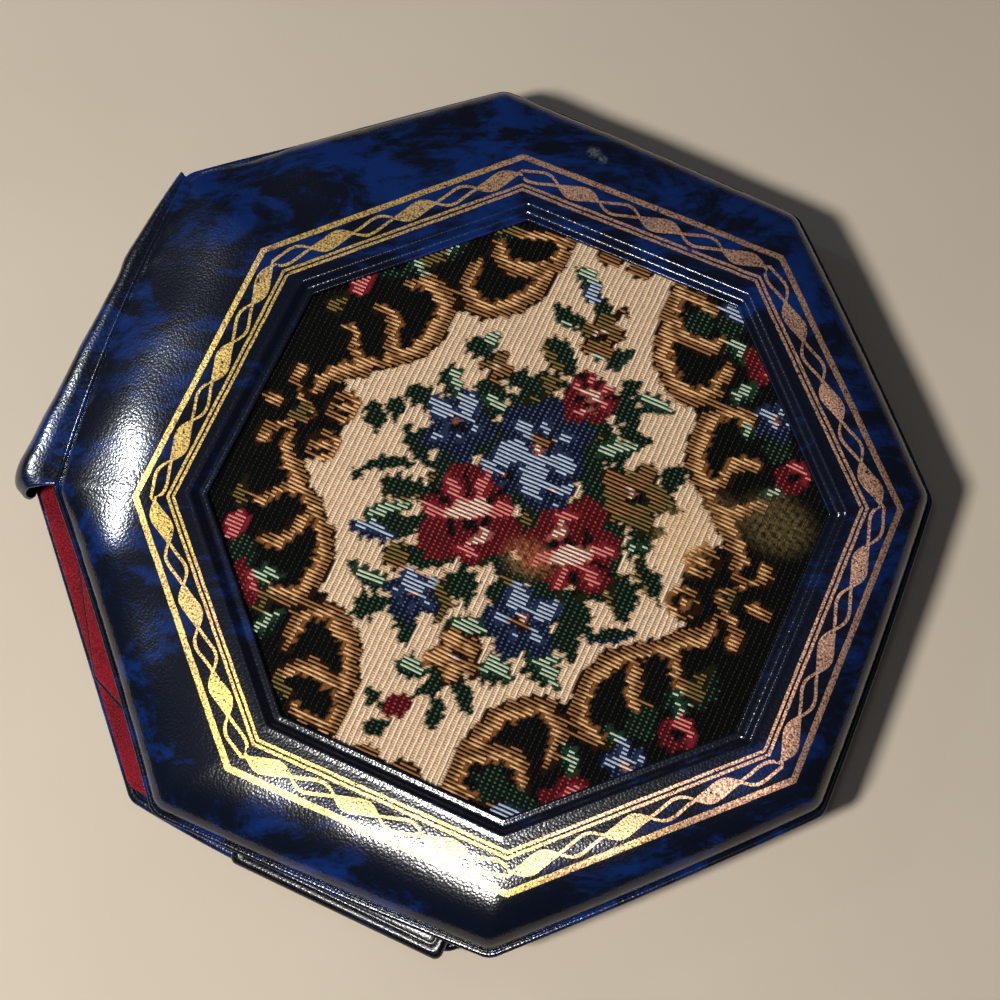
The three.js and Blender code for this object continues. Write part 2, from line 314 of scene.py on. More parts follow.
broad = noise(marbling, scaled.outputs[0], 1.0, 8.0, Roughness=0.72, Distortion=0.6)
fine = noise(marbling, scaled.outputs[0], 5.0, 4.0, Roughness=0.7, Distortion=0.5)
mixed = calc(marbling, "ADD", calc(marbling, "MULTIPLY", broad, 0.78),
             calc(marbling, "MULTIPLY", fine, 0.22))
cover_low = calc(marbling, "SUBTRACT", 0.94, given["Cover"])
mask = remap(marbling, mixed, cover_low, calc(marbling, "ADD", cover_low, 0.12))
plug(marbling, mix_colour(marbling, mask, given["Dark"], given["Royal"]), result["Color"])

# %% Group: pebble grain
pebbles, given, result = new_group(
    "pebble grain",
    [("Point", "NodeSocketVector", (0, 0, 0)), ("Grain", "NodeSocketFloat", 0.38)],
    [("Height", "NodeSocketFloat"), ("Valleys", "NodeSocketFloat")])
per_metre = calc(pebbles, "DIVIDE", 1 / MM, given["Grain"])
cells = node_of(pebbles, "ShaderNodeTexVoronoi", feature="SMOOTH_F1", Vector=given["Point"],
                Scale=per_metre, Smoothness=0.35, Randomness=0.9)
rough = noise(pebbles, given["Point"], per_metre)
dome = calc(pebbles, "SUBTRACT", 1.0, cells.outputs["Distance"])
height = calc(pebbles, "ADD", dome, calc(pebbles, "MULTIPLY", rough, 0.35))
plug(pebbles, height, result["Height"])
plug(pebbles, remap(pebbles, cells.outputs["Distance"], 0.45, 0.75), result["Valleys"])

# %% [markdown]
# ## The gold border
# A gold foil border is stamped round the window: one broad line outside, two hair lines inside,
# and between them a chain of two crossing strands whose every other eye is filled with gold.
# Foil has no thickness to speak of, so it is a mask on the skin and not a raised strip. The mask
# folds the octagon onto one side, and then works in two numbers: the distance from the centre
# and the place along the side.

# %% Group: stamped border
BORDER_TURN = math.radians(0.96)
BORDER_CENTRE = window_centre + np.array([-0.1, 0.0])
BEADS_PER_SIDE = 3
border, given, result = new_group(
    "stamped border",
    [("Point", "NodeSocketVector", (0, 0, 0)),
     ("Centre x", "NodeSocketFloat", float(BORDER_CENTRE[0])),
     ("Centre y", "NodeSocketFloat", float(BORDER_CENTRE[1])),
     ("Outer line", "NodeSocketFloat", 48.65),
     ("Outer line width", "NodeSocketFloat", 0.86),
     ("Inner lines", "NodeSocketFloat", 44.1),
     ("Inner lines apart", "NodeSocketFloat", 0.7),
     ("Inner line width", "NodeSocketFloat", 0.42),
     ("Chain", "NodeSocketFloat", 46.35),
     ("Chain height", "NodeSocketFloat", 1.1),
     ("Strand width", "NodeSocketFloat", 0.46),
     ("First bead", "NodeSocketFloat", 10.35),
     ("Skew", "NodeSocketFloat", 0.16),
     ("Lowest", "NodeSocketFloat", 13.0),
     ("Wear", "NodeSocketFloat", 0.75)],
    [("Mask", "NodeSocketFloat")])


def stamp(operation, *values):
    """One step of the sums that draw the border."""
    return calc(border, operation, *values)


parts = node_of(border, "ShaderNodeSeparateXYZ", Vector=given["Point"]).outputs
x = stamp("SUBTRACT", stamp("DIVIDE", parts["X"], MM), given["Centre x"])
y = stamp("SUBTRACT", stamp("DIVIDE", parts["Y"], MM), given["Centre y"])
wobble = noise(border, given["Point"], 420.0)
radius = stamp("SQRT", stamp("ADD", stamp("MULTIPLY", x, x), stamp("MULTIPLY", y, y)))
angle = stamp("SUBTRACT", stamp("ARCTAN2", y, x), BORDER_TURN)
sector = 2 * math.pi / SIDES
nearest_middle = stamp("MULTIPLY", stamp("ROUND", stamp("DIVIDE", angle, sector)), sector)
from_middle = stamp("SUBTRACT", angle, nearest_middle)
out = stamp("ADD", stamp("MULTIPLY", radius, stamp("COSINE", from_middle)),
        stamp("MULTIPLY", stamp("SUBTRACT", wobble, 0.5), 0.16))
along = stamp("MULTIPLY", radius, stamp("SINE", from_middle))


def band(distance, middle, width):
    """1 within half a width of the middle, with an edge 0.05 mm soft."""
    from_band = stamp("ABSOLUTE", stamp("SUBTRACT", distance, middle))
    half = stamp("DIVIDE", width, 2.0)
    return remap(border, from_band, stamp("ADD", half, 0.03), stamp("SUBTRACT", half, 0.03))


outer_line = band(out, given["Outer line"], given["Outer line width"])
half_apart = stamp("DIVIDE", given["Inner lines apart"], 2.0)
first_middle = stamp("SUBTRACT", given["Inner lines"], half_apart)
second_middle = stamp("ADD", given["Inner lines"], half_apart)
first_inner = band(out, first_middle, given["Inner line width"])
second_inner = band(out, second_middle, given["Inner line width"])

side_length = stamp("MULTIPLY", given["Chain"], 2 * math.tan(math.pi / SIDES))
bead_pitch = stamp("DIVIDE", side_length, BEADS_PER_SIDE)
turns = stamp("DIVIDE", stamp("SUBTRACT", along, given["First bead"]), bead_pitch)
lobe = stamp("ADD", stamp("MULTIPLY", turns, 2.0), 0.5)
lobe_number = stamp("FLOOR", lobe)
in_lobe = stamp("SUBTRACT", lobe, lobe_number)
is_open = stamp("ABSOLUTE", stamp("MODULO", lobe_number, 2.0))
away = stamp("SUBTRACT", out, given["Chain"])
side_sign = stamp("SIGN", away)
skewed = stamp("ADD", in_lobe, stamp("MULTIPLY", stamp("MULTIPLY", side_sign, given["Skew"]),
                             stamp("SINE", stamp("MULTIPLY", in_lobe, math.pi))))
swell = stamp("MULTIPLY", stamp("SINE", stamp("MULTIPLY", skewed, math.pi)), given["Chain height"])
distance_out = stamp("ABSOLUTE", away)
strand = band(distance_out, swell, given["Strand width"])
inside = remap(border, distance_out, stamp("ADD", swell, 0.05), stamp("SUBTRACT", swell, 0.02))
bead = stamp("MULTIPLY", inside, stamp("SUBTRACT", 1.0, is_open))
lines = stamp("MAXIMUM", stamp("MAXIMUM", outer_line, first_inner), second_inner)
stamped = stamp("MAXIMUM", lines, stamp("MAXIMUM", strand, bead))
nicks = noise(border, given["Point"], 900.0, 3.0, Roughness=0.7)
worn_at = stamp("SUBTRACT", 0.86, stamp("MULTIPLY", given["Wear"], 0.3))
kept = stamp("SUBTRACT", 1.0, remap(border, nicks, worn_at, stamp("ADD", worn_at, 0.04)))
on_top = stamp("GREATER_THAN", stamp("DIVIDE", parts["Z"], MM), given["Lowest"])
plug(border, stamp("MULTIPLY", stamp("MULTIPLY", stamped, kept), on_top), result["Mask"])

# %% Group: worn edges
worn_edges, given, result = new_group(
    "worn edges",
    [("Point", "NodeSocketVector", (0, 0, 0)), ("Color", "NodeSocketColor", colour(0, 0, 0)),
     ("Wear", "NodeSocketFloat", 0.0), ("Bare", "NodeSocketColor", colour(78, 84, 96))],
    [("Color", "NodeSocketColor")])
patches = noise(worn_edges, given["Point"], 700.0, 4.0, Roughness=0.7)
threshold = calc(worn_edges, "SUBTRACT", 0.86, calc(worn_edges, "MULTIPLY", given["Wear"], 0.6))
patchy = remap(worn_edges, patches, threshold, calc(worn_edges, "ADD", threshold, 0.35))
limit = calc(worn_edges, "MINIMUM", calc(worn_edges, "MULTIPLY", given["Wear"], 1.6), 1.0)
rubbed = calc(worn_edges, "MULTIPLY", patchy, limit)
plug(worn_edges, mix_colour(worn_edges, rubbed, given["Color"], given["Bare"]), result["Color"])

# %% Rubbed and nicked places on the lid
RUBBED_SPOTS = [(-4.2, 53.3, 1.6), (-2.6, 52.6, 1.2), (7.6, 45.8, 1.3), (-52.8, 27.4, 1.6)]
NICKED_SPOTS = [(-1.5, 47.5, 0.9), (-3.0, 45.6, 0.5), (-2.3, 44.4, 0.5), (-1.6, 43.5, 0.5),
                (14.7, 44.4, 0.9), (9.4, 49.1, 0.5), (20.6, 44.2, 0.4), (26.0, 41.2, 0.5)]


def distance_on_lid(tree, point, x, y):
    """How far a point lies from a place on top of the lid, which is given in mm."""
    away = node_of(tree, "ShaderNodeVectorMath", operation="DISTANCE")
    plug(tree, point, away.inputs[0])
    away.inputs[1].default_value = (x * MM, y * MM, lid_top * MM)
    return away.outputs["Value"]


def spots_mask(tree, point, spots, flecks):
    """1 in the middle of each spot, broken up by a noise that fades out at the spot's edge."""
    strongest = 0.0
    for x, y, radius in spots:
        near = remap(tree, distance_on_lid(tree, point, x, y), radius * MM, 0.2 * radius * MM)
        strongest = calc(tree, "MAXIMUM", strongest, near)
    return calc(tree, "MULTIPLY", strongest, remap(tree, flecks, 0.4, 0.56))


# %% What all three vinyls share
VINYL_ROUGHNESS = 0.18
GRAIN_BUMP = 0.4
GRAIN_DEPTH = 0.05


def finish_vinyl(tree, skin, point, printed):
    """Adds worn edges and the pebble grain to a printed colour, and returns the grain's valleys."""
    grain = add_group(tree, pebbles, Point=point)
    worn = add_group(tree, worn_edges, Point=point, Color=printed,
                     Wear=stored_paint(tree, "wear")["Fac"])
    plug(tree, worn.outputs["Color"], skin.inputs["Base Color"])
    add_bump(tree, skin, GRAIN_BUMP, GRAIN_DEPTH, grain.outputs["Height"])
    return grain.outputs["Valleys"]


# %% Material: lid skin with its gold border
BAND_IS_DARK_WITHIN = 44
BAND_FADES_OUT_AT = 49
lid_vinyl, tree, skin = new_material("marbled_vinyl_gold")
point = object_point(tree)
clouds = add_group(tree, marbling, Point=point)
foil = add_group(tree, border, Point=point)
parts = node_of(tree, "ShaderNodeSeparateXYZ", Vector=point).outputs
darker_by_window = remap(tree, distance_on_lid(tree, point, *BORDER_CENTRE),
                         BAND_FADES_OUT_AT * MM, BAND_IS_DARK_WITHIN * MM, 0.0, 0.045)
bluer_at_back = remap(tree, parts["Y"], -50 * MM, 50 * MM, 0.45, 0.51)
plug(tree, calc(tree, "SUBTRACT", bluer_at_back, darker_by_window), clouds.inputs["Cover"])
# The foil is painted rosier and duller towards the side away from the lamps: painted shade, mixed with
# a slow random tarnish.
away_from_lamps = calc(tree, "ADD", calc(tree, "MULTIPLY", parts["X"], 0.8),
                         calc(tree, "MULTIPLY", parts["Y"], 0.6))
tarnish = noise(tree, point, 38.0, 3.0)
specks = noise(tree, point, 3800.0, 3.0, Roughness=0.7)
rosy_shade_and_tarnish = calc(tree, "ADD", remap(tree, away_from_lamps, -5 * MM, 45 * MM, 0.0, 0.3), tarnish)
gold_with_painted_shade = mix_colour(
    tree, remap(tree, rosy_shade_and_tarnish, 0.42, 0.78), colour(232, 200, 110), colour(220, 174, 150))
speckled = mix_colour(tree, remap(tree, specks, 0.42, 0.64), gold_with_painted_shade, colour(92, 58, 34))
flecks = noise(tree, point, 1300.0, 3.0, Roughness=0.7)
nicked = spots_mask(tree, point, NICKED_SPOTS, flecks)
rubbed = spots_mask(tree, point, RUBBED_SPOTS, flecks)
gold = calc(tree, "MULTIPLY", foil.outputs["Mask"], calc(tree, "SUBTRACT", 1.0, nicked))
skin_colour = mix_colour(tree, gold, clouds.outputs["Color"], speckled)
scuffed = mix_colour(tree, calc(tree, "MULTIPLY", rubbed, 0.6), skin_colour, colour(120, 128, 140))
finish_vinyl(tree, skin, point, scuffed)
plug(tree, calc(tree, "MULTIPLY", gold, 0.82), skin.inputs["Metallic"])
plug(tree, remap(tree, calc(tree, "MAXIMUM", gold, rubbed), 0.0, 1.0, VINYL_ROUGHNESS, 0.38),
     skin.inputs["Roughness"])

# %% Material: plain marbled vinyl, for the base and the spine
marbled_vinyl, tree, skin = new_material("marbled_vinyl")
point = object_point(tree)
clouds = add_group(tree, marbling, Point=point)
valleys = finish_vinyl(tree, skin, point, clouds.outputs["Color"])
plug(tree, remap(tree, valleys, 0, 1, VINYL_ROUGHNESS, 0.26), skin.inputs["Roughness"])

# %% Material: dark vinyl, for the leaf's back and the tongue
dark_vinyl, tree, skin = new_material("dark_vinyl")
point = object_point(tree)
clouds = add_group(tree, marbling, Point=point, Dark=colour(6, 8, 18), Royal=colour(12, 20, 44),
                   Cover=0.46)
valleys = finish_vinyl(tree, skin, point, clouds.outputs["Color"])
plug(tree, remap(tree, valleys, 0, 1, 0.22, 0.32), skin.inputs["Roughness"])

# %% Material: crimson velour
velour, tree, pile = new_material("crimson_velour")
point = object_point(tree)
brushed = noise(tree, point, 160.0, 4.0, Roughness=0.6)
fibres = noise(tree, point, 5200.0)
shade = mix_colour(tree, remap(tree, brushed, 0.35, 0.65), colour(80, 9, 18), colour(114, 15, 28))
flecked = mix_colour(tree, remap(tree, fibres, 0.4, 0.7), shade, colour(146, 36, 48))
plug(tree, flecked, pile.inputs["Base Color"])
pile.inputs["Roughness"].default_value = 0.95
pile.inputs["Sheen Weight"].default_value = 0.1
pile.inputs["Specular IOR Level"].default_value = 0.1
pile.inputs["Sheen Roughness"].default_value = 0.4
add_bump(tree, pile, 0.6, 0.1, fibres)

# %% Material: table
table_paint, tree, paint = new_material("pale_table")
soft_tone = noise(tree, object_point(tree), 30.0, 3.0)
plug(tree, mix_colour(tree, soft_tone, colour(196, 185, 168), colour(204, 193, 176)),
     paint.inputs["Base Color"])
paint.inputs["Roughness"].default_value = 0.85

TABLE_HALF_WIDTH = 1.5
table_mesh = bpy.data.meshes.new("table")
table_mesh.from_pydata(
    [(x, y, 0) for x, y in ((-1, -1), (1, -1), (1, 1), (-1, 1))], [], [(0, 1, 2, 3)])
table_mesh.transform(Matrix.Scale(TABLE_HALF_WIDTH, 4))
table = bpy.data.objects.new("table", table_mesh)
table.data.materials.append(table_paint)
bpy.context.scene.collection.objects.link(table)

# %% [markdown]
# ## Outlines
# Every flat layer of the case is an octagon with rounded corners. One function gives its corners,
# another moves all sides in or out, and a third walks round it with evenly numbered points. All
# outlines of a piece have the same number of points, so any two of them can be joined by quads,
# and any mix of two outlines is again an outline.

# %% Outline helpers
POINTS_PER_CORNER = 12
POINTS_PER_SIDE = 78
AROUND = SIDES * (POINTS_PER_CORNER + POINTS_PER_SIDE)


def octagon(centre, across_flats, slips=0):
    turns = (2 * np.arange(SIDES) + 1) * math.pi / SIDES
    reach = across_flats / 2 / math.cos(math.pi / SIDES)
    return centre + reach * np.stack([np.cos(turns), np.sin(turns)], 1) + slips


def unit(vectors):
    return vectors / np.linalg.norm(vectors, axis=-1, keepdims=True)


def offset(corners, distance):
    """Moves the sides of an outline out by a distance, which may differ from side to side."""
    along = unit(np.roll(corners, -1, 0) - corners)
    after = np.stack([along[:, 1], -along[:, 0]], 1)
    before = np.roll(after, 1, 0)
    out_after = np.broadcast_to(np.asarray(distance, float), len(corners))
    out_before = np.roll(out_after, 1)
    spread = before[:, 0] * after[:, 1] - before[:, 1] * after[:, 0]
    move_x = out_before * after[:, 1] - out_after * before[:, 1]
    move_y = before[:, 0] * out_after - after[:, 0] * out_before
    return corners + np.stack([move_x, move_y], 1) / spread[:, None]


def outline(corners, rounding, bow=0.0):
    """Points round an outline, anticlockwise: for each corner its arc, then the side after it."""
    count = len(corners)
    bows = np.broadcast_to(bow, count)
    arcs = []
    for k in range(count):
        to_before = unit(corners[k - 1] - corners[k])
        to_after = unit(corners[(k + 1) % count] - corners[k])
        half = math.acos(np.clip(to_before @ to_after, -1, 1)) / 2
        start = corners[k] + to_before * rounding / math.tan(half)
        middle = corners[k] + unit(to_before + to_after) * rounding / math.sin(half)
        turn = np.linspace(0, math.pi - 2 * half, POINTS_PER_CORNER)[:, None]
        arm = start - middle
        across = np.array([-arm[1], arm[0]])
        arcs.append(middle + arm * np.cos(turn) + across * np.sin(turn))
    points = []
    for k in range(count):
        start, end = arcs[k][-1], arcs[(k + 1) % count][0]
        share = (np.arange(1, POINTS_PER_SIDE + 1) / (POINTS_PER_SIDE + 1))[:, None]
        along = unit(end - start)
        outward = np.array([along[1], -along[0]])
        rise = bows[k] * 4 * share * (1 - share)
        points += [arcs[k], start + (end - start) * share + outward * rise]
    return np.concatenate(points)


def ripple(points, wavelength, seed, waves=14):
    """A smooth wavy field from -1 to 1 over flat points, the same on every run."""
    rng = np.random.default_rng(seed)
    turns = rng.uniform(0, 2 * math.pi, waves)
    lengths = wavelength * rng.uniform(0.75, 1.6, waves)
    phases = rng.uniform(0, 2 * math.pi, waves)
    push = points[..., :1] * np.cos(turns) + points[..., 1:2] * np.sin(turns)
    return np.sin(push * 2 * math.pi / lengths + phases).sum(-1) / math.sqrt(waves) / 1.5


def smooth_step(values, start, end):
    share = np.clip((values - start) / (end - start), 0, 1)
    return share * share * (3 - 2 * share)


def ridge(places, middle, half_width):
    """1 at the middle, and fading to nothing on both sides of it."""
    return np.exp(-((places - middle) / half_width) ** 2)


def mesh_object(name, vertices_mm, faces, material):
    mesh = bpy.data.meshes.new(name)
    mesh.from_pydata((np.asarray(vertices_mm) * MM).tolist(), [], faces)
    mesh.polygons.foreach_set("use_smooth", [True] * len(mesh.polygons))
    if material:
        mesh.materials.append(material)
    piece = bpy.data.objects.new(name, mesh)
    bpy.context.scene.collection.objects.link(piece)
    print(name, len(mesh.vertices), "points")
    return piece


def loft_faces(rings, around, is_ring_shaped=False):
    """Quads between rings that run outward, up and back inward, with or without a hole inside."""
    bands = rings if is_ring_shaped else rings - 1
    faces = []
    for band_number in range(bands):
        low, high = band_number * around, (band_number + 1) % rings * around
        faces += [(low + i, low + (i + 1) % around, high + (i + 1) % around, high + i)
                  for i in range(around)]
    return faces


def loft(name, rings, material, is_ring_shaped=False):
    around = len(rings[0])
    vertices = np.concatenate(rings)
    faces = loft_faces(len(rings), around, is_ring_shaped)
    if not is_ring_shaped:
        vertices = np.concatenate([vertices, [rings[0].mean(0), rings[-1].mean(0)]])
        bottom, top = len(vertices) - 2, len(vertices) - 1
        last = (len(rings) - 1) * around
        for i in range(around):
            following = (i + 1) % around
            faces += [(bottom, following, i), (top, last + i, last + following)]
    return mesh_object(name, vertices, faces, material)


def at_height(points, z):
    heights = np.broadcast_to(np.asarray(z, float), (len(points),))
    return np.concatenate([points, heights[:, None]], 1)


def round_edge(ring_at, low, thickness, steps):
    """Rings round a half-round edge, from below upwards. ring_at gives the ring so far inside it."""
    half = thickness / 2
    return [at_height(ring_at(half * (1 - math.cos(turn))), low + half + half * math.sin(turn))
            for turn in np.linspace(-math.pi / 2, math.pi / 2, steps)]


def point_outwards(piece):
    """Turns the faces of a closed mesh so that they all point out."""
    shell = bmesh.new()
    shell.from_mesh(piece.data)
    bmesh.ops.recalc_face_normals(shell, faces=shell.faces)
    if shell.calc_volume(signed=True) < 0:
        bmesh.ops.reverse_faces(shell, faces=shell.faces)
    shell.to_mesh(piece.data)
    shell.free()


def fit(piece, node, body):
    """Hides the frame's node that a piece stands for, and hangs the piece on the body it moves with."""
    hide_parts(node)
    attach(piece, body)


def store_wear(piece, values):
    wear = piece.data.attributes.new("wear", "FLOAT", "POINT")
    wear.data.foreach_set("value", np.asarray(values, np.float32).ravel())


lid_rim = octagon(lid_centre, LID_ACROSS_FLATS, LID_CORNER_SLIPS)
tapestry_window = octagon(window_centre, WINDOW_ACROSS_FLATS)
base_rim = octagon(base_centre, LID_ACROSS_FLATS)
print("points round each outline:", AROUND)

# %% [markdown]
# ## The lid's padded skin
# The skin is welded to the case along a flat rim, swells up over thin foam, lies flat under the
# gold border, and dips at a second weld before the window. A section with these parts is carried
# round the octagon as rings of points, and then shallow waves, puckers at the welds and crinkles
# at the window are added to the points, as a sculptor's brush would.

# %% Section stations of the lid
SKIN_RIM_WIDTH = 0.95
SKIN_EDGE_THICKNESS = 0.7
WELD_FROM_EDGE = 0.75
WELD_DEPTH = 0.16
WELD_HALF_WIDTH = 0.11
RIM_EDGE_STEPS = 9
RIM_RINGS = 12
PUFF_POWER = 2.6
SPINE_PUFF_POWER = 1.9
SPINE_SIDE_LIFT = 1.0
WELD_FADES_OVER = 3.0
SKIN_LIP_THICKNESS = 0.45
SEAT_CLEARANCE = 0.3
PLATEAU_BELOW_TOP = 0.05
# The lip beside the crease, and the roll along the window's edge: heights in mm, and where they
# lie and how wide they are as shares of the plateau and of the slope.
LIP_HEIGHT, LIP_WIDTH = 0.08, 0.12
FAR_LIP_HEIGHT, FAR_LIP_POWER = 0.03, 8
ROLL_HEIGHT, ROLL_AT, ROLL_WIDTH = 0.07, 0.86, 0.1
SLOPE_DROP_SHARE, SLOPE_ENDS_AT = 0.9, 0.55
PUFF_RINGS = 30
UNDER_PUFF_RINGS = 9
PLATEAU_RINGS = 12
SLOPE_RINGS = 14
CRINKLE_HEIGHT = 0.05
CRINKLE_LENGTH = 0.95

rim_inner = offset(lid_rim, -SKIN_RIM_WIDTH)
skin_edge_top = rim_underside + SKIN_EDGE_THICKNESS
crest = offset(tapestry_window, CREST_OUTSIDE_WINDOW)
seat = offset(tapestry_window, PANEL_OVERLAP + SEAT_CLEARANCE)
lid_inside = lid_top - LID_WALL
wall_inner = offset(lid_rim, -RIM_WIDTH - LID_WALL / 2)


def rim_outline(corners):
    return outline(corners, CORNER_ROUNDING, LID_SIDE_BOWS)


def window_outline(corners):
    return outline(corners, INNER_CORNER_ROUNDING)


def near_spine(reach=15.0):
    """For each point round an outline: 1 along the spine's side, fading to 0 over a reach in mm."""
    x = outline(lid_rim, CORNER_ROUNDING)[:, 0]
    return 1 - smooth_step(x - x.min(), 0.5, reach)


def puff_rings(outer, inner, low, high, count, power=2.0):
    """Rings from a low outer outline up to a high inner one, along a quarter of a superellipse."""
    rings = []
    for turn in np.linspace(0, math.pi / 2, count):
        inward = 1 - math.cos(turn)
        corners = outer + (inner - outer) * inward
        softness = CORNER_ROUNDING + (INNER_CORNER_ROUNDING - CORNER_ROUNDING) * inward
        flat = outline(corners, softness, LID_SIDE_BOWS * (1 - inward))
        rise = (1 - (1 - inward) ** power) ** (1 / power)
        rings.append(at_height(flat, low + (high - low) * rise))
    return rings


def skin_puff_rings():
    """The puff of the skin, which leaves the spine's side higher and in a gentler curve."""
    low, high = skin_edge_top, lid_top - PLATEAU_BELOW_TOP
    rings = puff_rings(rim_inner, crest, low, high, PUFF_RINGS, PUFF_POWER)
    for turn, ring in zip(np.linspace(0, math.pi / 2, PUFF_RINGS), rings):
        start = low + SPINE_SIDE_LIFT
        gentle = start + (high - start) * (1 - math.cos(turn) ** SPINE_PUFF_POWER)
        ring[:, 2] += (gentle - ring[:, 2]) * near_spine()
    return rings


def rim_rings():
    """The thin welded rim, from its round outer edge in to the foot of the padding."""
    def ring_at(inset):
        return rim_outline(offset(lid_rim, -inset))

    lift = SPINE_SIDE_LIFT * near_spine()
    rings = round_edge(ring_at, rim_underside + lift, SKIN_EDGE_THICKNESS, RIM_EDGE_STEPS)
    for inset in np.linspace(SKIN_EDGE_THICKNESS / 2, SKIN_RIM_WIDTH, RIM_RINGS)[1:]:
        weld = WELD_DEPTH * ridge(inset, WELD_FROM_EDGE, WELD_HALF_WIDTH)
        faded_weld = weld * (1 - near_spine(WELD_FADES_OVER))
        rings.append(at_height(ring_at(inset), skin_edge_top + lift - faded_weld))
    return rings


def plateau_rings():
    rings = []
    for share in np.linspace(0, 1, PLATEAU_RINGS)[1:]:
        outside = CREST_OUTSIDE_WINDOW + (CREASE_OUTSIDE_WINDOW - CREST_OUTSIDE_WINDOW) * share
        z = lid_top + LIP_HEIGHT * ridge(share, 1, LIP_WIDTH) - PLATEAU_BELOW_TOP
        rings.append(at_height(window_outline(offset(tapestry_window, outside)), z))
    return rings


def slope_rings():
    """From the crease down to the window's edge, with a rolled lip at its end."""
    rings = []
    for share in np.linspace(0, 1, SLOPE_RINGS)[1:]:
        outside = CREASE_OUTSIDE_WINDOW * (1 - share)
        drop = WINDOW_EDGE_DROP * smooth_step(share, 0, SLOPE_ENDS_AT) * SLOPE_DROP_SHARE
        lip = FAR_LIP_HEIGHT * (1 - share) ** FAR_LIP_POWER
        z = lid_top + lip - drop + ROLL_HEIGHT * ridge(share, ROLL_AT, ROLL_WIDTH)
        rings.append(at_height(window_outline(offset(tapestry_window, outside)), z))
    return rings


top_puff = skin_puff_rings()[1:]
under_puff = puff_rings(wall_inner, crest, rim_underside, lid_inside, UNDER_PUFF_RINGS)
lip_underside = lid_top - WINDOW_EDGE_DROP - SKIN_LIP_THICKNESS
seat_rings = [
    at_height(window_outline(tapestry_window), lip_underside),
    at_height(window_outline(seat), lip_underside),
    at_height(window_outline(seat), lid_inside),
]
lid_rings = [*seat_rings, *under_puff[::-1], *rim_rings(), *top_puff, *plateau_rings(), *slope_rings()]
first_rim = len(seat_rings) + len(under_puff)
first_puff = first_rim + len(rim_rings())
first_plateau = first_puff + len(top_puff)
first_slope = first_plateau + PLATEAU_RINGS - 1
print("rings in the lid's section:", len(lid_rings))

# %% Waves, puckers and crinkles
PAD_WAVE_HEIGHT, PAD_WAVE_LENGTH = 0.22, 16
PUCKER_HEIGHT, PUCKER_LENGTH = 0.1, 3.2
PUCKERS_AT, PUCKERS_WIDTH = 0.12, 0.12


def around_distance(ring):
    steps = np.linalg.norm(np.roll(ring, -1, 0)[:, :2] - ring[:, :2], axis=1)
    return np.concatenate([[0], np.cumsum(steps)[:-1]])


def wave_padding(ring, share):
    """Broad waves over the puff, and puckers beside the weld at its foot."""
    flat = ring[:, :2]
    swell = math.sin(math.pi * share) ** 0.7
    ring[:, 2] += PAD_WAVE_HEIGHT * swell * ripple(flat, PAD_WAVE_LENGTH, 3)
    near_weld = ridge(share, PUCKERS_AT, PUCKERS_WIDTH)
    ring[:, 2] += PUCKER_HEIGHT * near_weld * ripple(flat, PUCKER_LENGTH, 5)


def crinkle_slope(ring, share):
    """Small crinkles across the slope to the window, uneven in place and in height."""
    flat = ring[:, :2]
    walked = around_distance(ring)
    waves = round(walked[-1] / CRINKLE_LENGTH)
    phase = walked / walked[-1] * waves * 2 * math.pi
    fade = math.sin(math.pi * min(share * 1.05, 1))
    crinkles = np.sin(phase + 1.5 * ripple(flat, 6, 9)) * (0.5 + 0.5 * ripple(flat, 9, 11))
    ring[:, 2] += CRINKLE_HEIGHT * fade * crinkles


for number, ring in enumerate(lid_rings):
    if first_puff <= number < first_plateau:
        wave_padding(ring, (number - first_puff + 1) / len(top_puff))
    elif number >= first_slope:
        crinkle_slope(ring, (number - first_slope + 1) / (SLOPE_RINGS - 1))

# %% Lid skin
EDGE_WEAR = 0.3
SPINE_SIDE_WEAR = 0.35


def lid_wear():
    """How rubbed the skin is: a little along its whole edge, and most beside the spine."""
    values = np.zeros((len(lid_rings), AROUND))
    edge = rim_outline(lid_rim)
    for number in range(first_rim, first_plateau):
        inset = np.linalg.norm(lid_rings[number][:, :2] - edge, axis=1)
        values[number] = EDGE_WEAR * ridge(inset, 0.2, 0.22)
        values[number] += SPINE_SIDE_WEAR * near_spine(WELD_FADES_OVER) * ridge(inset, 0, 0.55)
    return np.clip(values, 0, 1)


lid_skin = loft("lid_skin", lid_rings, lid_vinyl, is_ring_shaped=True)
store_wear(lid_skin, lid_wear())
fit(lid_skin, "lid_cover", "lid")

# %% [markdown]
# ## The woven picture
# The tapestry is machine woven: a cream cartouche with a bouquet lies on black, inside scrolls
# of brown and tan. On the cream the warp ribs run along Y. In the coloured parts the weft shows
# as light dots or rows on a dark ground. Each thread tone below names its kind of weave, the
# colour of its raised threads and the colour of the ground between them.

# %% Thread tones
RIB_PITCH = 0.79
ROW_PITCH = 0.56
TONES = {
    "cream": ("rib", (252, 232, 206), (186, 152, 120)),
    "black": ("dash", (36, 38, 35), (7, 8, 8)),
    "brown": ("row", (160, 114, 72), (38, 20, 9)),
    "tan": ("row", (234, 188, 134), (128, 82, 44)),
    "crimson": ("dot", (154, 68, 68), (76, 14, 20)),
    "pink": ("row", (226, 136, 128), (122, 30, 40)),
    "blush": ("row", (246, 226, 206), (150, 84, 74)),
    "navy": ("dot", (80, 96, 130), (14, 21, 42)),
    "sky": ("row", (188, 204, 226), (36, 48, 78)),
    "leaf": ("dot", (72, 96, 76), (10, 24, 16)),
    "mint": ("row", (196, 216, 188), (30, 56, 40)),
    "olive": ("row", (128, 108, 62), (32, 28, 13)),
}
TONE_NAMES = list(TONES)
KINDS = ["rib", "dot", "row", "dash"]
KIND_OF_TONE = np.array([KINDS.index(kind) for kind, _, _ in TONES.values()])
THREAD_OF_TONE = np.array([colour(*thread) for _, thread, _ in TONES.values()])
GROUND_OF_TONE = np.array([colour(*ground) for _, _, ground in TONES.values()])
print("thread tones:", ", ".join(TONE_NAMES))

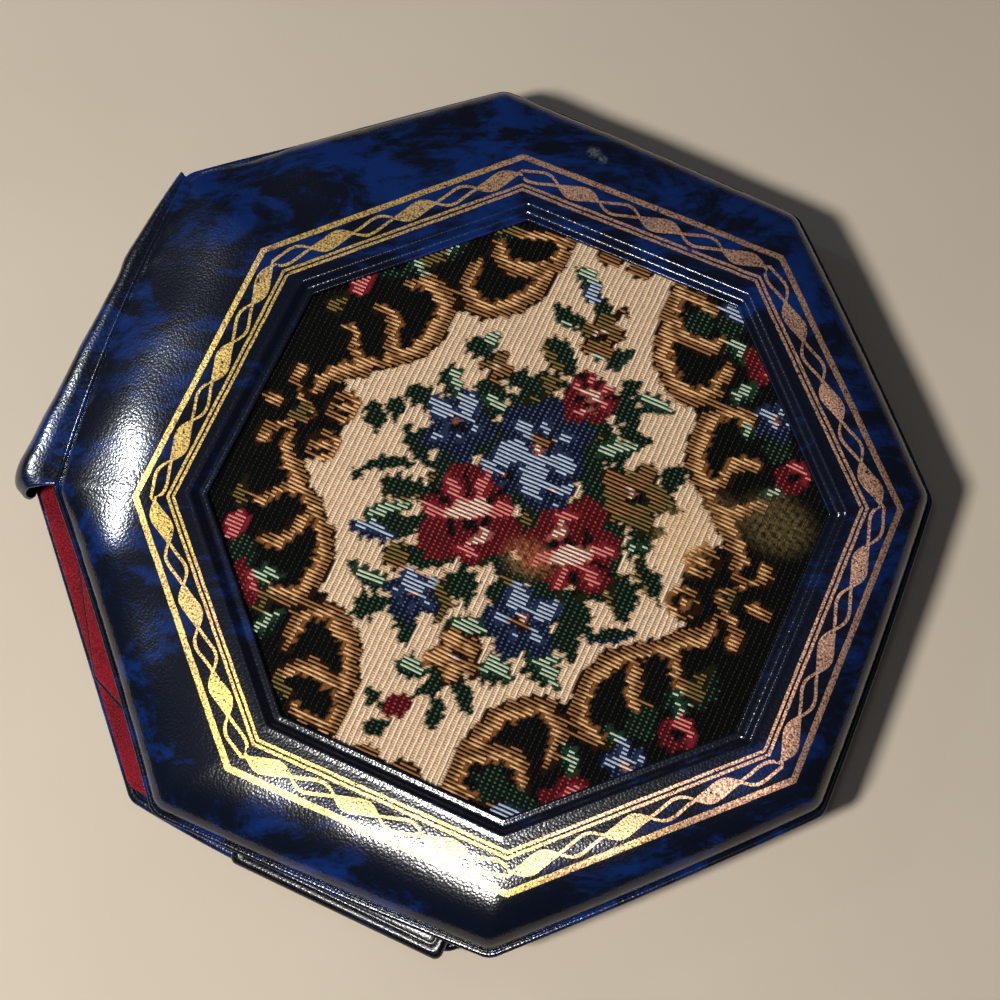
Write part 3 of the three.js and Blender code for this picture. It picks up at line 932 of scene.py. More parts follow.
# %% [markdown]
# The picture is drawn the way a pattern cutter would lay it out, with a few kinds of figure:
# strokes for the scrolls, leaves with a light and a dark half, round blossoms, roses and buds.
# Each helper answers which places lie in its shape. The borders are the same in all four
# quarters, so they are drawn once on folded coordinates.


# %% Shapes of the figures
def in_polygon(x, y, points):
    inside = np.zeros(x.shape, bool)
    for (x1, y1), (x2, y2) in zip(points, points[1:] + points[:1]):
        if y1 != y2:
            crosses = (y1 > y) != (y2 > y)
            inside ^= crosses & (x < (x2 - x1) * (y - y1) / (y2 - y1) + x1)
    return inside


def smooth_path(points, steps=8):
    """Points on a Catmull-Rom curve through the given ones."""
    p = np.array([points[0], *points, points[-1]], float)
    t = (np.arange(steps) / steps)[:, None]
    pieces = [0.5 * (2 * p[i] + (p[i + 1] - p[i - 1]) * t
                     + (2 * p[i - 1] - 5 * p[i] + 4 * p[i + 1] - p[i + 2]) * t ** 2
                     + (3 * p[i] - p[i - 1] - 3 * p[i + 1] + p[i + 2]) * t ** 3)
              for i in range(1, len(p) - 2)]
    return np.concatenate([*pieces, p[-1:]])


def along_path(x, y, points):
    """How far each place lies from a path, on which side and how far along, and its length."""
    path = smooth_path(points)
    walked = np.concatenate([[0], np.cumsum(np.linalg.norm(np.diff(path, axis=0), axis=1))])
    heading = np.gradient(path, axis=0)
    nearest, side, place = np.full(x.shape, np.inf), np.zeros(x.shape), np.zeros(x.shape)
    for (px, py), (hx, hy), s in zip(path, unit(heading), walked):
        far = np.hypot(x - px, y - py)
        closer = far < nearest
        nearest = np.where(closer, far, nearest)
        side = np.where(closer, hx * (y - py) - hy * (x - px), side)
        place = np.where(closer, s, place)
    return nearest, side, place, walked[-1]


def stroke(x, y, points, width):
    return along_path(x, y, points)[0] < width / 2


def local(x, y, centre, turn):
    """Coordinates along and across a figure that is turned by an angle in degrees."""
    c, s = math.cos(math.radians(turn)), math.sin(math.radians(turn))
    dx, dy = x - centre[0], y - centre[1]
    return dx * c + dy * s, dy * c - dx * s


def oval(x, y, centre, radii, turn=0):
    u, v = local(x, y, centre, turn)
    return (u / radii[0]) ** 2 + (v / radii[1]) ** 2 < 1


# %% Figures that paint themselves into the picture
TEETH_PITCH = 1.7
LEAF_STRETCH = 1.15
LEAF_FULLNESS = 1.6
SCROLL_FULLNESS = 1.15


def paint(tone, where, name):
    tone[where] = TONE_NAMES.index(name)


def paint_scroll(tone, x, y, points, width, core_side):
    """A toothed band, brown with a bright core along one of its sides."""
    nearest, side, place, length = along_path(x, y, points)
    taper = 0.5 + 0.5 * np.sin(math.pi * np.clip(place / length, 0, 1)) ** 0.6
    teeth = 1 + 0.2 * np.sin(2 * math.pi * place / TEETH_PITCH) * (side * core_side > 0)
    half = width * SCROLL_FULLNESS / 2 * taper * teeth
    paint(tone, nearest < half, "brown")
    offside = side * core_side / half
    paint(tone, (nearest < half) & (offside > 0.04) & (taper > 0.6), "tan")


def paint_leaf(tone, x, y, centre, length, width, turn, upper="leaf", lower="leaf"):
    """A leaf with a wavy edge, whose upper half and lower half may differ."""
    u, v = local(x, y, centre, turn)
    length, width = length * LEAF_STRETCH, width * LEAF_FULLNESS
    share = np.clip(u / length + 0.5, 0, 1)
    half = width / 2 * np.sin(math.pi * share ** 0.8) * (0.85 + 0.2 * np.cos(u * 4.2))
    inside = (np.abs(v) < half) & (np.abs(u) < length / 2)
    paint(tone, inside, lower)
    paint(tone, inside & (v > -0.12 * width) & (share > 0.12), upper)


def flower_parts(tone, x, y, centre, radius):
    """Two helpers for one flower: its places, and its oval parts, in shares of its radius."""
    def at(reach, angle):
        angle = math.radians(angle)
        return (centre[0] + reach * radius * math.cos(angle),
                centre[1] + reach * radius * math.sin(angle))

    def part(name, reach, angle, length, width, turn=0):
        paint(tone, oval(x, y, at(reach, angle), (length * radius, width * radius), turn), name)

    return at, part


def paint_blossom(tone, x, y, centre, radius, light, dark, petals, turn, heart, lit=120):
    """A flat flower: dark petals, pale from the heart out towards the side that is lit."""
    part = flower_parts(tone, x, y, centre, radius)[1]
    angles = [turn + 360 * petal / petals for petal in range(petals)]
    for angle in angles:
        part(dark, 0.56, angle, 0.5, 0.42, angle)
    for angle in angles:
        facing = 0.5 + 0.5 * math.cos(math.radians(angle - lit))
        size = 0.16 + 0.34 * facing
        part(light, 0.4 + 0.28 * facing, angle, size, size * 0.62, angle)
    part(dark, 0, 0, 0.34, 0.24)
    part(heart, 0.06, lit + 180, 0.24, 0.15)
    part("blush", 0.14, lit, 0.13, 0.1)


def paint_rose(tone, x, y, centre, radius, turn, lit):
    """A full rose: dark lobes with pink rims on the lit side, and pale folds round its heart."""
    at, part = flower_parts(tone, x, y, centre, radius)
    for angle in range(0, 360, 60):
        size = 0.42 + 0.08 * math.cos(math.radians(3 * angle + turn))
        part("crimson", 0.56, turn + angle, size, size * 0.9, turn + angle)
    for aside in (-75, -25, 25, 75):
        reach = 0.66 + 0.06 * math.cos(math.radians(aside * 3))
        part("pink", reach, lit + aside, 0.27, 0.16, lit + aside)
    for aside in (-50, 0, 50):
        paint(tone, stroke(x, y, [at(0.5, lit + aside), at(0.95, lit + aside)], 0.7), "black")
    part("pink", 0.05, lit, 0.44, 0.36, lit + 90)
    part("blush", 0.16, lit, 0.44, 0.2, lit + 100)
    part("crimson", 0.2, lit + 170, 0.26, 0.15, lit + 60)
    for angle, reach in ((200, 0.12), (255, 0.34), (120, 0.36)):
        part("black", reach, lit + angle, 0.15, 0.09, angle)
    part("blush", 0.42, lit + 215, 0.24, 0.13, lit + 120)
    part("pink", 0.62, lit + 180, 0.26, 0.12, lit + 80)


# %% The four scrolled borders
CARTOUCHE_MIDDLE = -0.8
CARTOUCHE = [
    (0, 0), (0, 42), (7.7, 42), (7.9, 36), (8.6, 31), (10.0, 27.2), (12.6, 24.2), (16.2, 22.9),
    (18.7, 22.6), (18.6, 19.0), (19.3, 16.0), (21.2, 13.2), (24.2, 10.4), (27.2, 8.3), (29.3, 6.4),
    (28.0, 5.6), (26.0, 5.4), (25.6, 0)]
SCROLLS = [
    # width, side of the bright core, points on folded coordinates
    (2.6, 1, [(8.7, 41.5), (8.9, 36), (9.5, 31.6), (11.2, 27.4), (15.6, 24.2), (18.8, 25.8),
              (19.6, 28.4), (19.4, 31.4)]),
    (2.2, 1, [(9.6, 34.6), (11.8, 32.6), (14.6, 31.9), (17.0, 33.0), (18.6, 35.6)]),
    (1.6, -1, [(9.4, 38.4), (11.8, 38.8), (14.2, 38.0), (15.4, 37.0)]),
    (2.6, 1, [(27.0, 24.0), (24.0, 25.2), (20.8, 23.6), (20.0, 19.4), (20.8, 15.6), (23.6, 12.4),
              (26.4, 10.2)]),
    (2.0, 1, [(23.4, 12.6), (25.4, 14.6), (26.0, 17.2), (27.6, 18.6), (29.6, 18.4)]),
    (1.8, 1, [(25.8, 10.6), (28.8, 10.6), (30.2, 12.2), (31.0, 13.6), (32.8, 14.0)]),
    (2.5, 1, [(25.4, 11.2), (28.4, 8.6), (31.0, 6.4), (32.0, 3.4)]),
    (1.1, 1, [(36.0, 5.0), (34.2, 3.2), (32.6, 1.6), (30.4, 0.4)]),
]
CURL_CENTRE = (27.4, 3.1)
BORDER_KNOTS = [
    ("brown", (35.6, 5.0), (1.4, 2.0)), ("tan", (35.2, 5.4), (0.8, 1.0)),
    ("brown", (36.8, 0), (2.0, 1.1)), ("tan", (36.4, 0), (1.0, 0.6)),
    ("olive", (32.6, 0), (1.3, 1.4)), ("brown", (2.6, 39.4), (2.2, 1.2))]


def paint_borders(tone, x, y):
    u, v = np.abs(x - CARTOUCHE_MIDDLE), np.abs(y)
    paint(tone, in_polygon(u, v, CARTOUCHE), "cream")
    for width, core_side, points in SCROLLS:
        paint_scroll(tone, u, v, points, width, core_side)
    curl = np.hypot(u - CURL_CENTRE[0], v - CURL_CENTRE[1])
    paint(tone, (curl < 2.5) & (curl > 1.2), "brown")
    paint(tone, (curl < 2.5) & (curl > 1.5) & (u < 27.0), "tan")
    paint(tone, curl <= 0.8, "tan")
    for name, centre, radii in BORDER_KNOTS:
        paint(tone, oval(u, v, centre, radii), name)


# %% Small flowers on the black ground
BLACK_GROUND_LEAVES = [
    # centre, length, width, turn, and the tones of both halves where they aren't plain leaf
    ((-28.4, 27.2), 5.2, 2.2, -25, "mint", "leaf"), ((-24.2, 31.6), 5.0, 2.2, 60, "mint", "leaf"),
    ((-26.4, 29.2), 4.4, 2.4, 80, "olive", "olive"),
    ((-35.8, 17.2), 4.4, 1.9, 70, "olive", "olive"), ((-30.8, 24.6), 4.8, 2.0, 10),
    ((-27.2, -23.6), 4.8, 2.4, 25, "mint", "leaf"), ((-23.8, -29.0), 5.4, 2.0, 65, "mint", "leaf"),
    ((-26.0, -26.4), 4.0, 2.0, 85, "olive", "olive"),
    ((-35.4, -14.2), 4.2, 1.8, 110, "olive", "olive"), ((-31.6, -21.6), 5.6, 2.6, -40),
    ((19.4, 33.4), 5.6, 2.2, -30, "mint", "leaf"), ((22.6, 28.2), 5.8, 2.0, 60, "mint", "leaf"),
    ((16.8, 37.0), 5.0, 2.4, 40), ((29.6, 22.6), 5.0, 3.0, 80),
    ((25.6, 23.2), 3.6, 1.8, 40, "mint", "leaf"), ((32.2, 16.4), 4.8, 1.8, 35, "mint", "leaf"),
    ((31.0, -16.4), 4.8, 2.0, -50, "mint", "leaf"), ((33.4, -12.6), 6.4, 3.0, 95, "olive", "leaf"),
    ((28.0, -20.6), 5.0, 3.0, 70), ((25.2, -24.0), 3.8, 1.6, -40, "mint", "leaf"),
    ((21.2, -29.4), 4.8, 1.8, -60, "mint", "leaf"), ((17.4, -36.8), 5.2, 2.6, 0),
    ((-18.6, 37.0), 4.4, 2.4, 20, "olive", "leaf"),
    ((-18.6, -36.6), 4.6, 2.4, 10, "olive", "leaf"), ((12.6, 35.6), 4.2, 3.0, 90),
    ((13.0, -36.0), 4.4, 3.4, 90),
]


def paint_black_ground(tone, x, y):
    for leaf in BLACK_GROUND_LEAVES:
        paint_leaf(tone, x, y, *leaf)
    for centre in ((-34.0, 21.2), (-34.2, -18.7)):
        paint(tone, oval(x, y, centre, (1.6, 2.2)), "pink")
    for centre in ((33.2, 19.4), (32.7, -20.0)):
        reach = np.hypot(x - centre[0], y - centre[1])
        paint(tone, reach < 2.5, "crimson")
        paint(tone, (reach < 2.5) & ((x - centre[0]) * 0.6 + (y - centre[1]) * 0.8 > 0.5), "pink")
        paint(tone, reach < 0.9, "black")
    for centre, turn in (((22.6, 32.4), -50), ((-29.4, -25.4), -48), ((22.0, -33.2), 50)):
        paint(tone, oval(x, y, centre, (3.4, 1.5), turn), "crimson")
        paint(tone, oval(x, y, (centre[0] + 0.8, centre[1] + 0.4), (2.0, 0.8), turn), "pink")
    paint_blossom(tone, x, y, (28.0, 26.2), 3.2, "sky", "navy", 5, 20, "blush")
    paint_blossom(tone, x, y, (28.0, -26.6), 3.2, "sky", "navy", 5, 50, "blush")
    paint(tone, oval(x, y, (16.6, 38.9), (2.4, 1.2)), "sky")
    paint(tone, oval(x, y, (16.4, -38.9), (2.6, 1.3), 25), "sky")


# %% The bouquet on the cream ground
BOUQUET_LEAVES = [
    # centre, length, width, turn, and the tones of both halves where they aren't plain leaf
    ((-4.6, 35.0), 4.8, 1.9, -12, "mint", "leaf"), ((-5.0, 28.6), 5.0, 1.9, 0),
    ((-4.4, 27.2), 3.2, 0.9, 0, "mint", "mint"), ((4.6, 25.8), 5.2, 2.0, 55, "leaf", "mint"),
    ((1.6, 25.0), 2.8, 1.6, 70, "mint", "mint"), ((-3.2, 22.4), 6.6, 3.4, -30, "leaf", "olive"),
    ((7.6, 21.8), 3.6, 2.2, 60), ((11.6, 21.2), 6.2, 1.9, 0, "mint", "leaf"),
    ((9.0, 18.0), 5.0, 3.0, -35), ((11.0, 15.6), 5.2, 1.7, 5, "leaf", "olive"),
    ((9.6, 12.6), 6.8, 2.8, 35, "mint", "leaf"), ((-13.2, 20.6), 3.4, 1.8, 60, "mint", "mint"),
    ((-14.2, 18.6), 4.6, 1.9, -10), ((-7.4, 17.2), 3.2, 2.6, 80),
    ((-3.6, 17.2), 5.0, 3.4, -65, "olive", "leaf"), ((-9.8, 13.8), 5.4, 2.2, 10),
    ((-15.6, 12.4), 4.8, 2.6, -60, "mint", "leaf"), ((-8.4, 11.8), 4.8, 1.9, -10, "mint", "leaf"),
    ((-18.6, 8.6), 5.2, 2.6, -20), ((-23.4, 3.6), 4.2, 2.4, -45), ((-21.2, 5.6), 3.6, 1.9, -80),
    ((-16.2, 2.0), 6.0, 2.2, -35), ((-18.4, -1.6), 6.6, 1.5, 25), ((-21.6, -4.8), 2.8, 1.5, 70),
    ((-14.6, -4.2), 7.6, 2.8, 15, "leaf", "olive"), ((-15.8, -8.2), 6.6, 2.6, 40, "mint", "leaf"),
    ((-13.2, -9.4), 5.4, 2.6, 35), ((-16.2, -11.6), 7.0, 2.0, 5, "sky", "navy"),
    ((-11.6, -13.4), 4.6, 3.2, 50, "olive", "brown"), ((-8.4, -12.2), 3.2, 3.6, 90),
    ((-13.6, -17.8), 7.4, 1.9, -12, "mint", "leaf"), ((-12.2, -21.4), 5.0, 2.8, 40),
    ((-6.4, -22.0), 5.0, 2.4, -62), ((-3.4, -17.0), 6.4, 2.6, -75, "olive", "olive"),
    ((-1.6, -13.6), 5.4, 3.2, -60), ((1.8, -18.4), 6.6, 2.6, 25, "mint", "leaf"),
    ((13.0, -19.6), 6.6, 3.4, -30, "mint", "leaf"), ((14.6, -15.4), 5.2, 2.4, -50),
    ((14.0, -11.6), 4.6, 4.2, 80), ((19.4, -11.6), 6.6, 1.7, 30, "leaf", "navy"),
    ((18.4, -6.2), 6.4, 3.8, -60, "leaf", "olive"), ((21.0, -2.6), 6.2, 2.2, -38, "leaf", "olive"),
    ((18.0, 1.2), 4.2, 2.2, 30, "mint", "leaf"), ((18.2, 3.6), 4.8, 2.0, 25),
    ((18.6, 8.2), 4.8, 2.0, -5), ((18.4, 12.8), 4.6, 2.4, 65),
    ((7.4, -22.4), 5.2, 3.2, 5, "mint", "leaf"), ((-3.2, -26.6), 4.6, 2.4, 15, "mint", "leaf"),
    ((5.0, -27.4), 5.2, 1.7, -50), ((2.2, -31.0), 4.2, 1.8, -85), ((0.4, -27.6), 4.4, 1.7, -70),
    ((-6.2, -32.4), 3.0, 1.4, -20), ((-4.0, -35.6), 3.4, 1.9, 45), ((4.4, 9.2), 5.0, 3.0, 20),
    ((5.0, 14.2), 6.0, 3.2, 25, "leaf", "olive"), ((-0.6, 31.6), 4.0, 1.6, -45),
]
BOUQUET_STEMS = [
    ("leaf", 0.9, [(-3.2, 34.0), (-1.6, 31.4), (0.4, 29.6)]),
    ("leaf", 0.8, [(-6.0, 15.4), (-5.6, 17.6), (-4.4, 17.8)]),
    ("leaf", 0.9, [(0.6, -24.0), (0.0, -27.6), (-1.6, -30.6)]),
    ("brown", 1.3, [(1.4, 30.4), (1.8, 32.0), (2.4, 32.4)]),
]
BOUQUET_SHADE = [(-9, 13), (-3, 20), (6, 17), (11, 12), (15, 4), (17, -5), (13, -13), (4, -14),
                 (-3, -14), (-10, -11), (-14, -3), (-13, 8)]
BOUQUET_BLOSSOMS = [
    # centre, radius, light, dark, petals, turn, heart, and the side that is lit
    ((0.6, 27.6), 3.4, "olive", "brown", 5, 30, "black"),
    ((-10.8, 17.0), 2.6, "olive", "brown", 4, 10, "tan"),
    ((14.6, 7.6), 5.0, "brown", "olive", 5, 20, "black", 160),
    ((1.6, -22.8), 3.9, "tan", "brown", 5, 60, "black", 200),
    ((-12.2, 7.0), 5.2, "sky", "navy", 5, 15, "black", 135),
    ((3.8, 3.4), 3.6, "sky", "navy", 4, 45, "navy", 100),
    ((-2.8, 3.6), 3.8, "sky", "navy", 4, 0, "black", 150),
    ((-0.2, 9.4), 6.8, "sky", "navy", 6, 40, "brown", 265),
    ((7.6, -14.8), 5.4, "sky", "navy", 5, 50, "brown", 90),
    ((-7.6, -17.9), 3.6, "sky", "navy", 6, 0, "navy", 90),
]
BOUQUET_ROSES = [
    # centre, radius, turn and the side that is lit
    ((2.8, 18.2), 4.2, 10, 80), ((-5.2, -4.6), 7.6, 0, 115), ((9.4, -2.4), 7.0, 150, 300)]


def paint_bouquet(tone, x, y):
    flat = np.stack([x, y], -1)
    shade = in_polygon(x, y, BOUQUET_SHADE)
    paint(tone, shade & (ripple(flat, 5, 73) > -0.35), "leaf")
    paint(tone, shade & (ripple(flat, 4, 74) > 0.55), "olive")
    for name, width, points in BOUQUET_STEMS:
        paint(tone, stroke(x, y, points, width), name)
    for leaf in BOUQUET_LEAVES:
        paint_leaf(tone, x, y, *leaf)
    paint(tone, oval(x, y, (-3.0, 33.2), (1.5, 1.9), 20), "sky")
    for blossom in BOUQUET_BLOSSOMS:
        paint_blossom(tone, x, y, *blossom)
    for rose in BOUQUET_ROSES:
        paint_rose(tone, x, y, *rose)
    paint(tone, oval(x, y, (-2.9, -32.0), (1.6, 2.2), -30), "crimson")


# %% The whole picture
WARP = 0.32
COMB = 0.26


def picture(x, y):
    """The number of the thread tone at each place, in mm from the middle of the window."""
    tone = np.full(x.shape, TONE_NAMES.index("black"))
    flat = np.stack([x, y], -1)
    rib = np.floor(x / RIB_PITCH + 0.5)
    teeth = np.where(rib % 2 == 0, COMB, -COMB) * (0.8 + 0.4 * np.sin(rib * 2.4))
    x = x + WARP * ripple(flat, 3.4, 71)
    y = y + WARP * ripple(flat, 3.1, 72) + teeth
    paint_borders(tone, x, y)
    paint_black_ground(tone, x, y)
    paint_bouquet(tone, x, y)
    return tone


# %% [markdown]
# ## Age on the cloth
# Four ochre stains lie on the right half: two lighten the black ground and the scroll beside it,
# one yellows the cream, and one has run into the red rose. They tint threads and ground alike.

# %% Stains
STAINS = [
    # centre, radii, colour, strength
    ((33.6, 12.2), (5.8, 4.6), (142, 122, 76), 0.55),
    ((25.6, 10.2), (4.0, 3.2), (176, 134, 84), 0.3),
    ((22.8, 5.0), (4.2, 5.6), (232, 182, 108), 0.5),
    ((4.8, -6.2), (4.0, 3.0), (206, 142, 90), 0.5),
]


def stained(colours, x, y):
    colours = colours.copy()
    for centre, radii, tint, strength in STAINS:
        far = np.hypot((x - centre[0]) / radii[0], (y - centre[1]) / radii[1])
        patchy = 0.55 + 0.8 * ripple(np.stack([x, y], -1), 0.9, 21)
        share = (strength * smooth_step(far, 1.2, 0.4) * np.clip(patchy, 0, 1))[..., None]
        colours += (np.array(colour(*tint)) - colours) * share
    return colours


# %% [markdown]
# ## From picture to cloth
# The ground cloth is a fine grid that bulges a little over its backing. The raised threads are
# grown on it with Geometry Nodes: a bead for each dot and dash, and a round cord along each rib
# and row. Cloth and threads take their colour from attributes, so one material serves all threads.

# %% Grid of the weave
CLOTH_EDGE_UNDER_LIP = 2.2
CLOTH_BELOW_LIP = 0.12
CLOTH_THICKNESS = 0.4
CLOTH_EDGE = WINDOW_ACROSS_FLATS / 2 + CLOTH_EDGE_UNDER_LIP
cloth_edge_z = lip_underside - CLOTH_BELOW_LIP


def octagon_reach(x, y):
    turns = np.arange(SIDES) * 2 * math.pi / SIDES
    return np.max([x * math.cos(t) + y * math.sin(t) for t in turns], axis=0)


def cloth_height(x, y):
    share = np.clip(octagon_reach(x, y) / (WINDOW_ACROSS_FLATS / 2), 0, 1)
    return cloth_edge_z + PANEL_CROWN * (1 - share ** 2.2) * 0.95


def cloth_points(pitch_x, pitch_y):
    half_x, half_y = int(CLOTH_EDGE / pitch_x) + 1, int(CLOTH_EDGE / pitch_y) + 1
    x, y = np.meshgrid(np.arange(-half_x, half_x + 1) * pitch_x,
                       np.arange(-half_y, half_y + 1) * pitch_y, indexing="ij")
    flat = np.stack([x, y], -1)
    wander_x = 0.16 * ripple(flat, 24, 31) + 0.05 * ripple(flat, 5, 32)
    wander_y = 0.2 * ripple(flat, 28, 33) + 0.05 * ripple(flat, 6, 34)
    return x, y, x + wander_x, y + wander_y


def store_colours(mesh, name, values):
    attribute = mesh.color_attributes.new(name, "FLOAT_COLOR", "POINT")
    attribute.data.foreach_set("color", np.asarray(values, np.float32).ravel())


# %% Ground cloth
x, y, moved_x, moved_y = cloth_points(RIB_PITCH / 2, ROW_PITCH * 0.6)
kept = octagon_reach(x, y) < CLOTH_EDGE
numbers = np.full(x.shape, -1)
numbers[kept] = np.arange(kept.sum())
corner_a, corner_b = numbers[:-1, :-1], numbers[1:, :-1]
corner_c, corner_d = numbers[1:, 1:], numbers[:-1, 1:]
whole = (corner_a >= 0) & (corner_b >= 0) & (corner_c >= 0) & (corner_d >= 0)
quads = np.stack([corner_a[whole], corner_b[whole], corner_c[whole], corner_d[whole]], 1)
cloth_vertices = np.stack([
    moved_x[kept] + window_centre[0], moved_y[kept] + window_centre[1],
    cloth_height(x, y)[kept]], 1)
tapestry = mesh_object("tapestry", cloth_vertices, quads.tolist(), None)
tones = picture(x[kept], y[kept])
ground = stained(GROUND_OF_TONE[tones], x[kept], y[kept])
ground[:, 3] = (tones == TONE_NAMES.index("cream"))
store_colours(tapestry.data, "ground", ground)
wall = tapestry.modifiers.new("thickness", "SOLIDIFY")
wall.thickness = CLOTH_THICKNESS * MM
wall.offset = -1

# %% Materials of the cloth
FUZZ_SCALE = 3400.0
BARS_SPREAD = 1.2

tapestry_ground, tree, cloth = new_material("tapestry_ground")
point = object_point(tree)
ground_paint = stored_paint(tree, "ground")
parts = node_of(tree, "ShaderNodeSeparateXYZ", Vector=point).outputs
bar_turns = calc(tree, "DIVIDE", parts["Y"], ROW_PITCH / 2 * MM * BARS_SPREAD)
bars = remap(tree, calc(tree, "PINGPONG", bar_turns, 0.5), 0.3, 0.16)
on_cream = calc(tree, "MULTIPLY", ground_paint["Alpha"], bars)
barred = mix_colour(tree, on_cream, ground_paint["Color"], colour(238, 208, 174))
fuzz = noise(tree, point, FUZZ_SCALE)
shaded = mix_colour(tree, remap(tree, fuzz, 0.35, 0.75, 0.0, 0.45), barred, (0, 0, 0, 1))
plug(tree, shaded, cloth.inputs["Base Color"])
cloth.inputs["Roughness"].default_value = 0.95
cloth.inputs["Specular IOR Level"].default_value = 0.05
add_bump(tree, cloth, 0.5, 0.08, fuzz)
tapestry.data.materials.append(tapestry_ground)

tapestry_thread, tree, cloth = new_material("tapestry_thread")
fuzz = noise(tree, object_point(tree), FUZZ_SCALE)
shaded = mix_colour(tree, remap(tree, fuzz, 0.3, 0.7, 0.0, 0.3), stored_paint(tree, "thread")["Color"],
                    (0.02, 0.012, 0.008, 1))
plug(tree, shaded, cloth.inputs["Base Color"])
cloth.inputs["Roughness"].default_value = 0.9
cloth.inputs["Specular IOR Level"].default_value = 0.06
add_bump(tree, cloth, 0.4, 0.05, fuzz)


# %% Geometry Nodes: beads on points, and cords along runs
def new_geometry_tree(name, sizes):
    tree = bpy.data.node_groups.new(name, "GeometryNodeTree")
    tree.interface.new_socket("Geometry", in_out="INPUT", socket_type="NodeSocketGeometry")
    for label, kind, value in sizes:
        socket = tree.interface.new_socket(label, in_out="INPUT", socket_type=kind)
        if value is not None:
            socket.default_value = value
    tree.interface.new_socket("Geometry", in_out="OUTPUT", socket_type="NodeSocketGeometry")
    return tree, tree.nodes.new("NodeGroupInput").outputs, tree.nodes.new("NodeGroupOutput").inputs


def finish_tree(tree, geometry, material, result):
    smooth = node_of(tree, "GeometryNodeSetShadeSmooth", Geometry=geometry)
    dressed = node_of(tree, "GeometryNodeSetMaterial", Geometry=smooth.outputs[0],
                      Material=material)
    plug(tree, dressed.outputs[0], result["Geometry"])


bead_tree, given, result = new_geometry_tree("beads on points", [
    ("Length", "NodeSocketFloat", 0.42 * MM), ("Width", "NodeSocketFloat", 0.36 * MM),
    ("Height", "NodeSocketFloat", 0.3 * MM), ("Unevenness", "NodeSocketFloat", 0.15),
    ("Lean", "NodeSocketFloat", 0.2), ("Seed", "NodeSocketInt", 1),
    ("Material", "NodeSocketMaterial", None)])
ball = node_of(bead_tree, "GeometryNodeMeshIcoSphere", Radius=0.5, Subdivisions=1)
size = node_of(bead_tree, "ShaderNodeCombineXYZ", X=given["Length"], Y=given["Width"],
               Z=given["Height"])
shaped = node_of(bead_tree, "GeometryNodeTransform", Geometry=ball.outputs["Mesh"],
                 Scale=size.outputs[0])


def random_between(tree, low, high, seed):
    """A random number for each point, from the sockets that a Random Value node has for floats."""
    node = node_of(tree, "FunctionNodeRandomValue", data_type="FLOAT")
    for value, socket in ((low, node.inputs[2]), (high, node.inputs[3]), (seed, node.inputs["Seed"])):
        plug(tree, value, socket)
    return node.outputs[1]


uneven = random_between(bead_tree, calc(bead_tree, "SUBTRACT", 1.0, given["Unevenness"]),
                        calc(bead_tree, "ADD", 1.0, given["Unevenness"]), given["Seed"])
lean = random_between(bead_tree, calc(bead_tree, "MULTIPLY", given["Lean"], -1.0), given["Lean"],
                      calc(bead_tree, "ADD", given["Seed"], 1))
turn = node_of(bead_tree, "ShaderNodeCombineXYZ", Z=lean)
placed = node_of(bead_tree, "GeometryNodeInstanceOnPoints", Points=given["Geometry"],
                 Instance=shaped.outputs[0], Rotation=turn.outputs[0], Scale=uneven)
real = node_of(bead_tree, "GeometryNodeRealizeInstances", Geometry=placed.outputs[0])
finish_tree(bead_tree, real.outputs[0], given["Material"], result)

cord_tree, given, result = new_geometry_tree("cords along runs", [
    ("Width", "NodeSocketFloat", 0.34 * MM), ("Sides", "NodeSocketInt", 6),
    ("Material", "NodeSocketMaterial", None)])
line = node_of(cord_tree, "GeometryNodeMeshToCurve", Mesh=given["Geometry"])
section = node_of(cord_tree, "GeometryNodeCurvePrimitiveCircle", Resolution=given["Sides"],
                  Radius=calc(cord_tree, "DIVIDE", given["Width"], 2.0))
tube = node_of(cord_tree, "GeometryNodeCurveToMesh", Curve=line.outputs[0],
               Profile_Curve=section.outputs[0], Fill_Caps=True)
real = node_of(cord_tree, "GeometryNodeRealizeInstances", Geometry=tube.outputs[0])
finish_tree(cord_tree, real.outputs[0], given["Material"], result)


def grow(source, tree, **sizes):
    """Runs a tree on an object and keeps the result as its plain mesh."""
    modifier = source.modifiers.new("grow", "NODES")
    modifier.node_group = tree
    for item in tree.interface.items_tree:
        label = item.name.replace(" ", "_")
        if item.in_out == "INPUT" and label in sizes:
            modifier[item.identifier] = sizes[label]
    depsgraph = bpy.context.evaluated_depsgraph_get()
    grown = bpy.data.meshes.new_from_object(source.evaluated_get(depsgraph))
    source.modifiers.clear()
    source.data = grown
    print(source.name, len(grown.polygons), "faces")
    return source


# %% Raised threads
THREADS_RUN_UNDER_LIP = 0.6
THREADS_DIFFER_BY = 0.08
x, y, moved_x, moved_y = cloth_points(RIB_PITCH, ROW_PITCH)
in_window = octagon_reach(x, y) < WINDOW_ACROSS_FLATS / 2 + THREADS_RUN_UNDER_LIP
tones = np.where(in_window, picture(x, y), -1)
kinds = np.where(in_window, KIND_OF_TONE[tones], -1)
thread = stained(THREAD_OF_TONE[tones], x, y)
tint = 1 + THREADS_DIFFER_BY * np.random.default_rng(7).uniform(-1, 1, x.shape)
thread[..., :3] *= tint[..., None]


def thread_points(name, where, lift, edges=()):
    place = np.stack([moved_x[where] + window_centre[0], moved_y[where] + window_centre[1],
                      cloth_height(x, y)[where] + lift], 1)
    mesh = bpy.data.meshes.new(name)
    mesh.from_pydata((place * MM).tolist(), edges, [])
    store_colours(mesh, "thread", thread[where])
    piece = bpy.data.objects.new(name, mesh)
    bpy.context.scene.collection.objects.link(piece)
    return piece


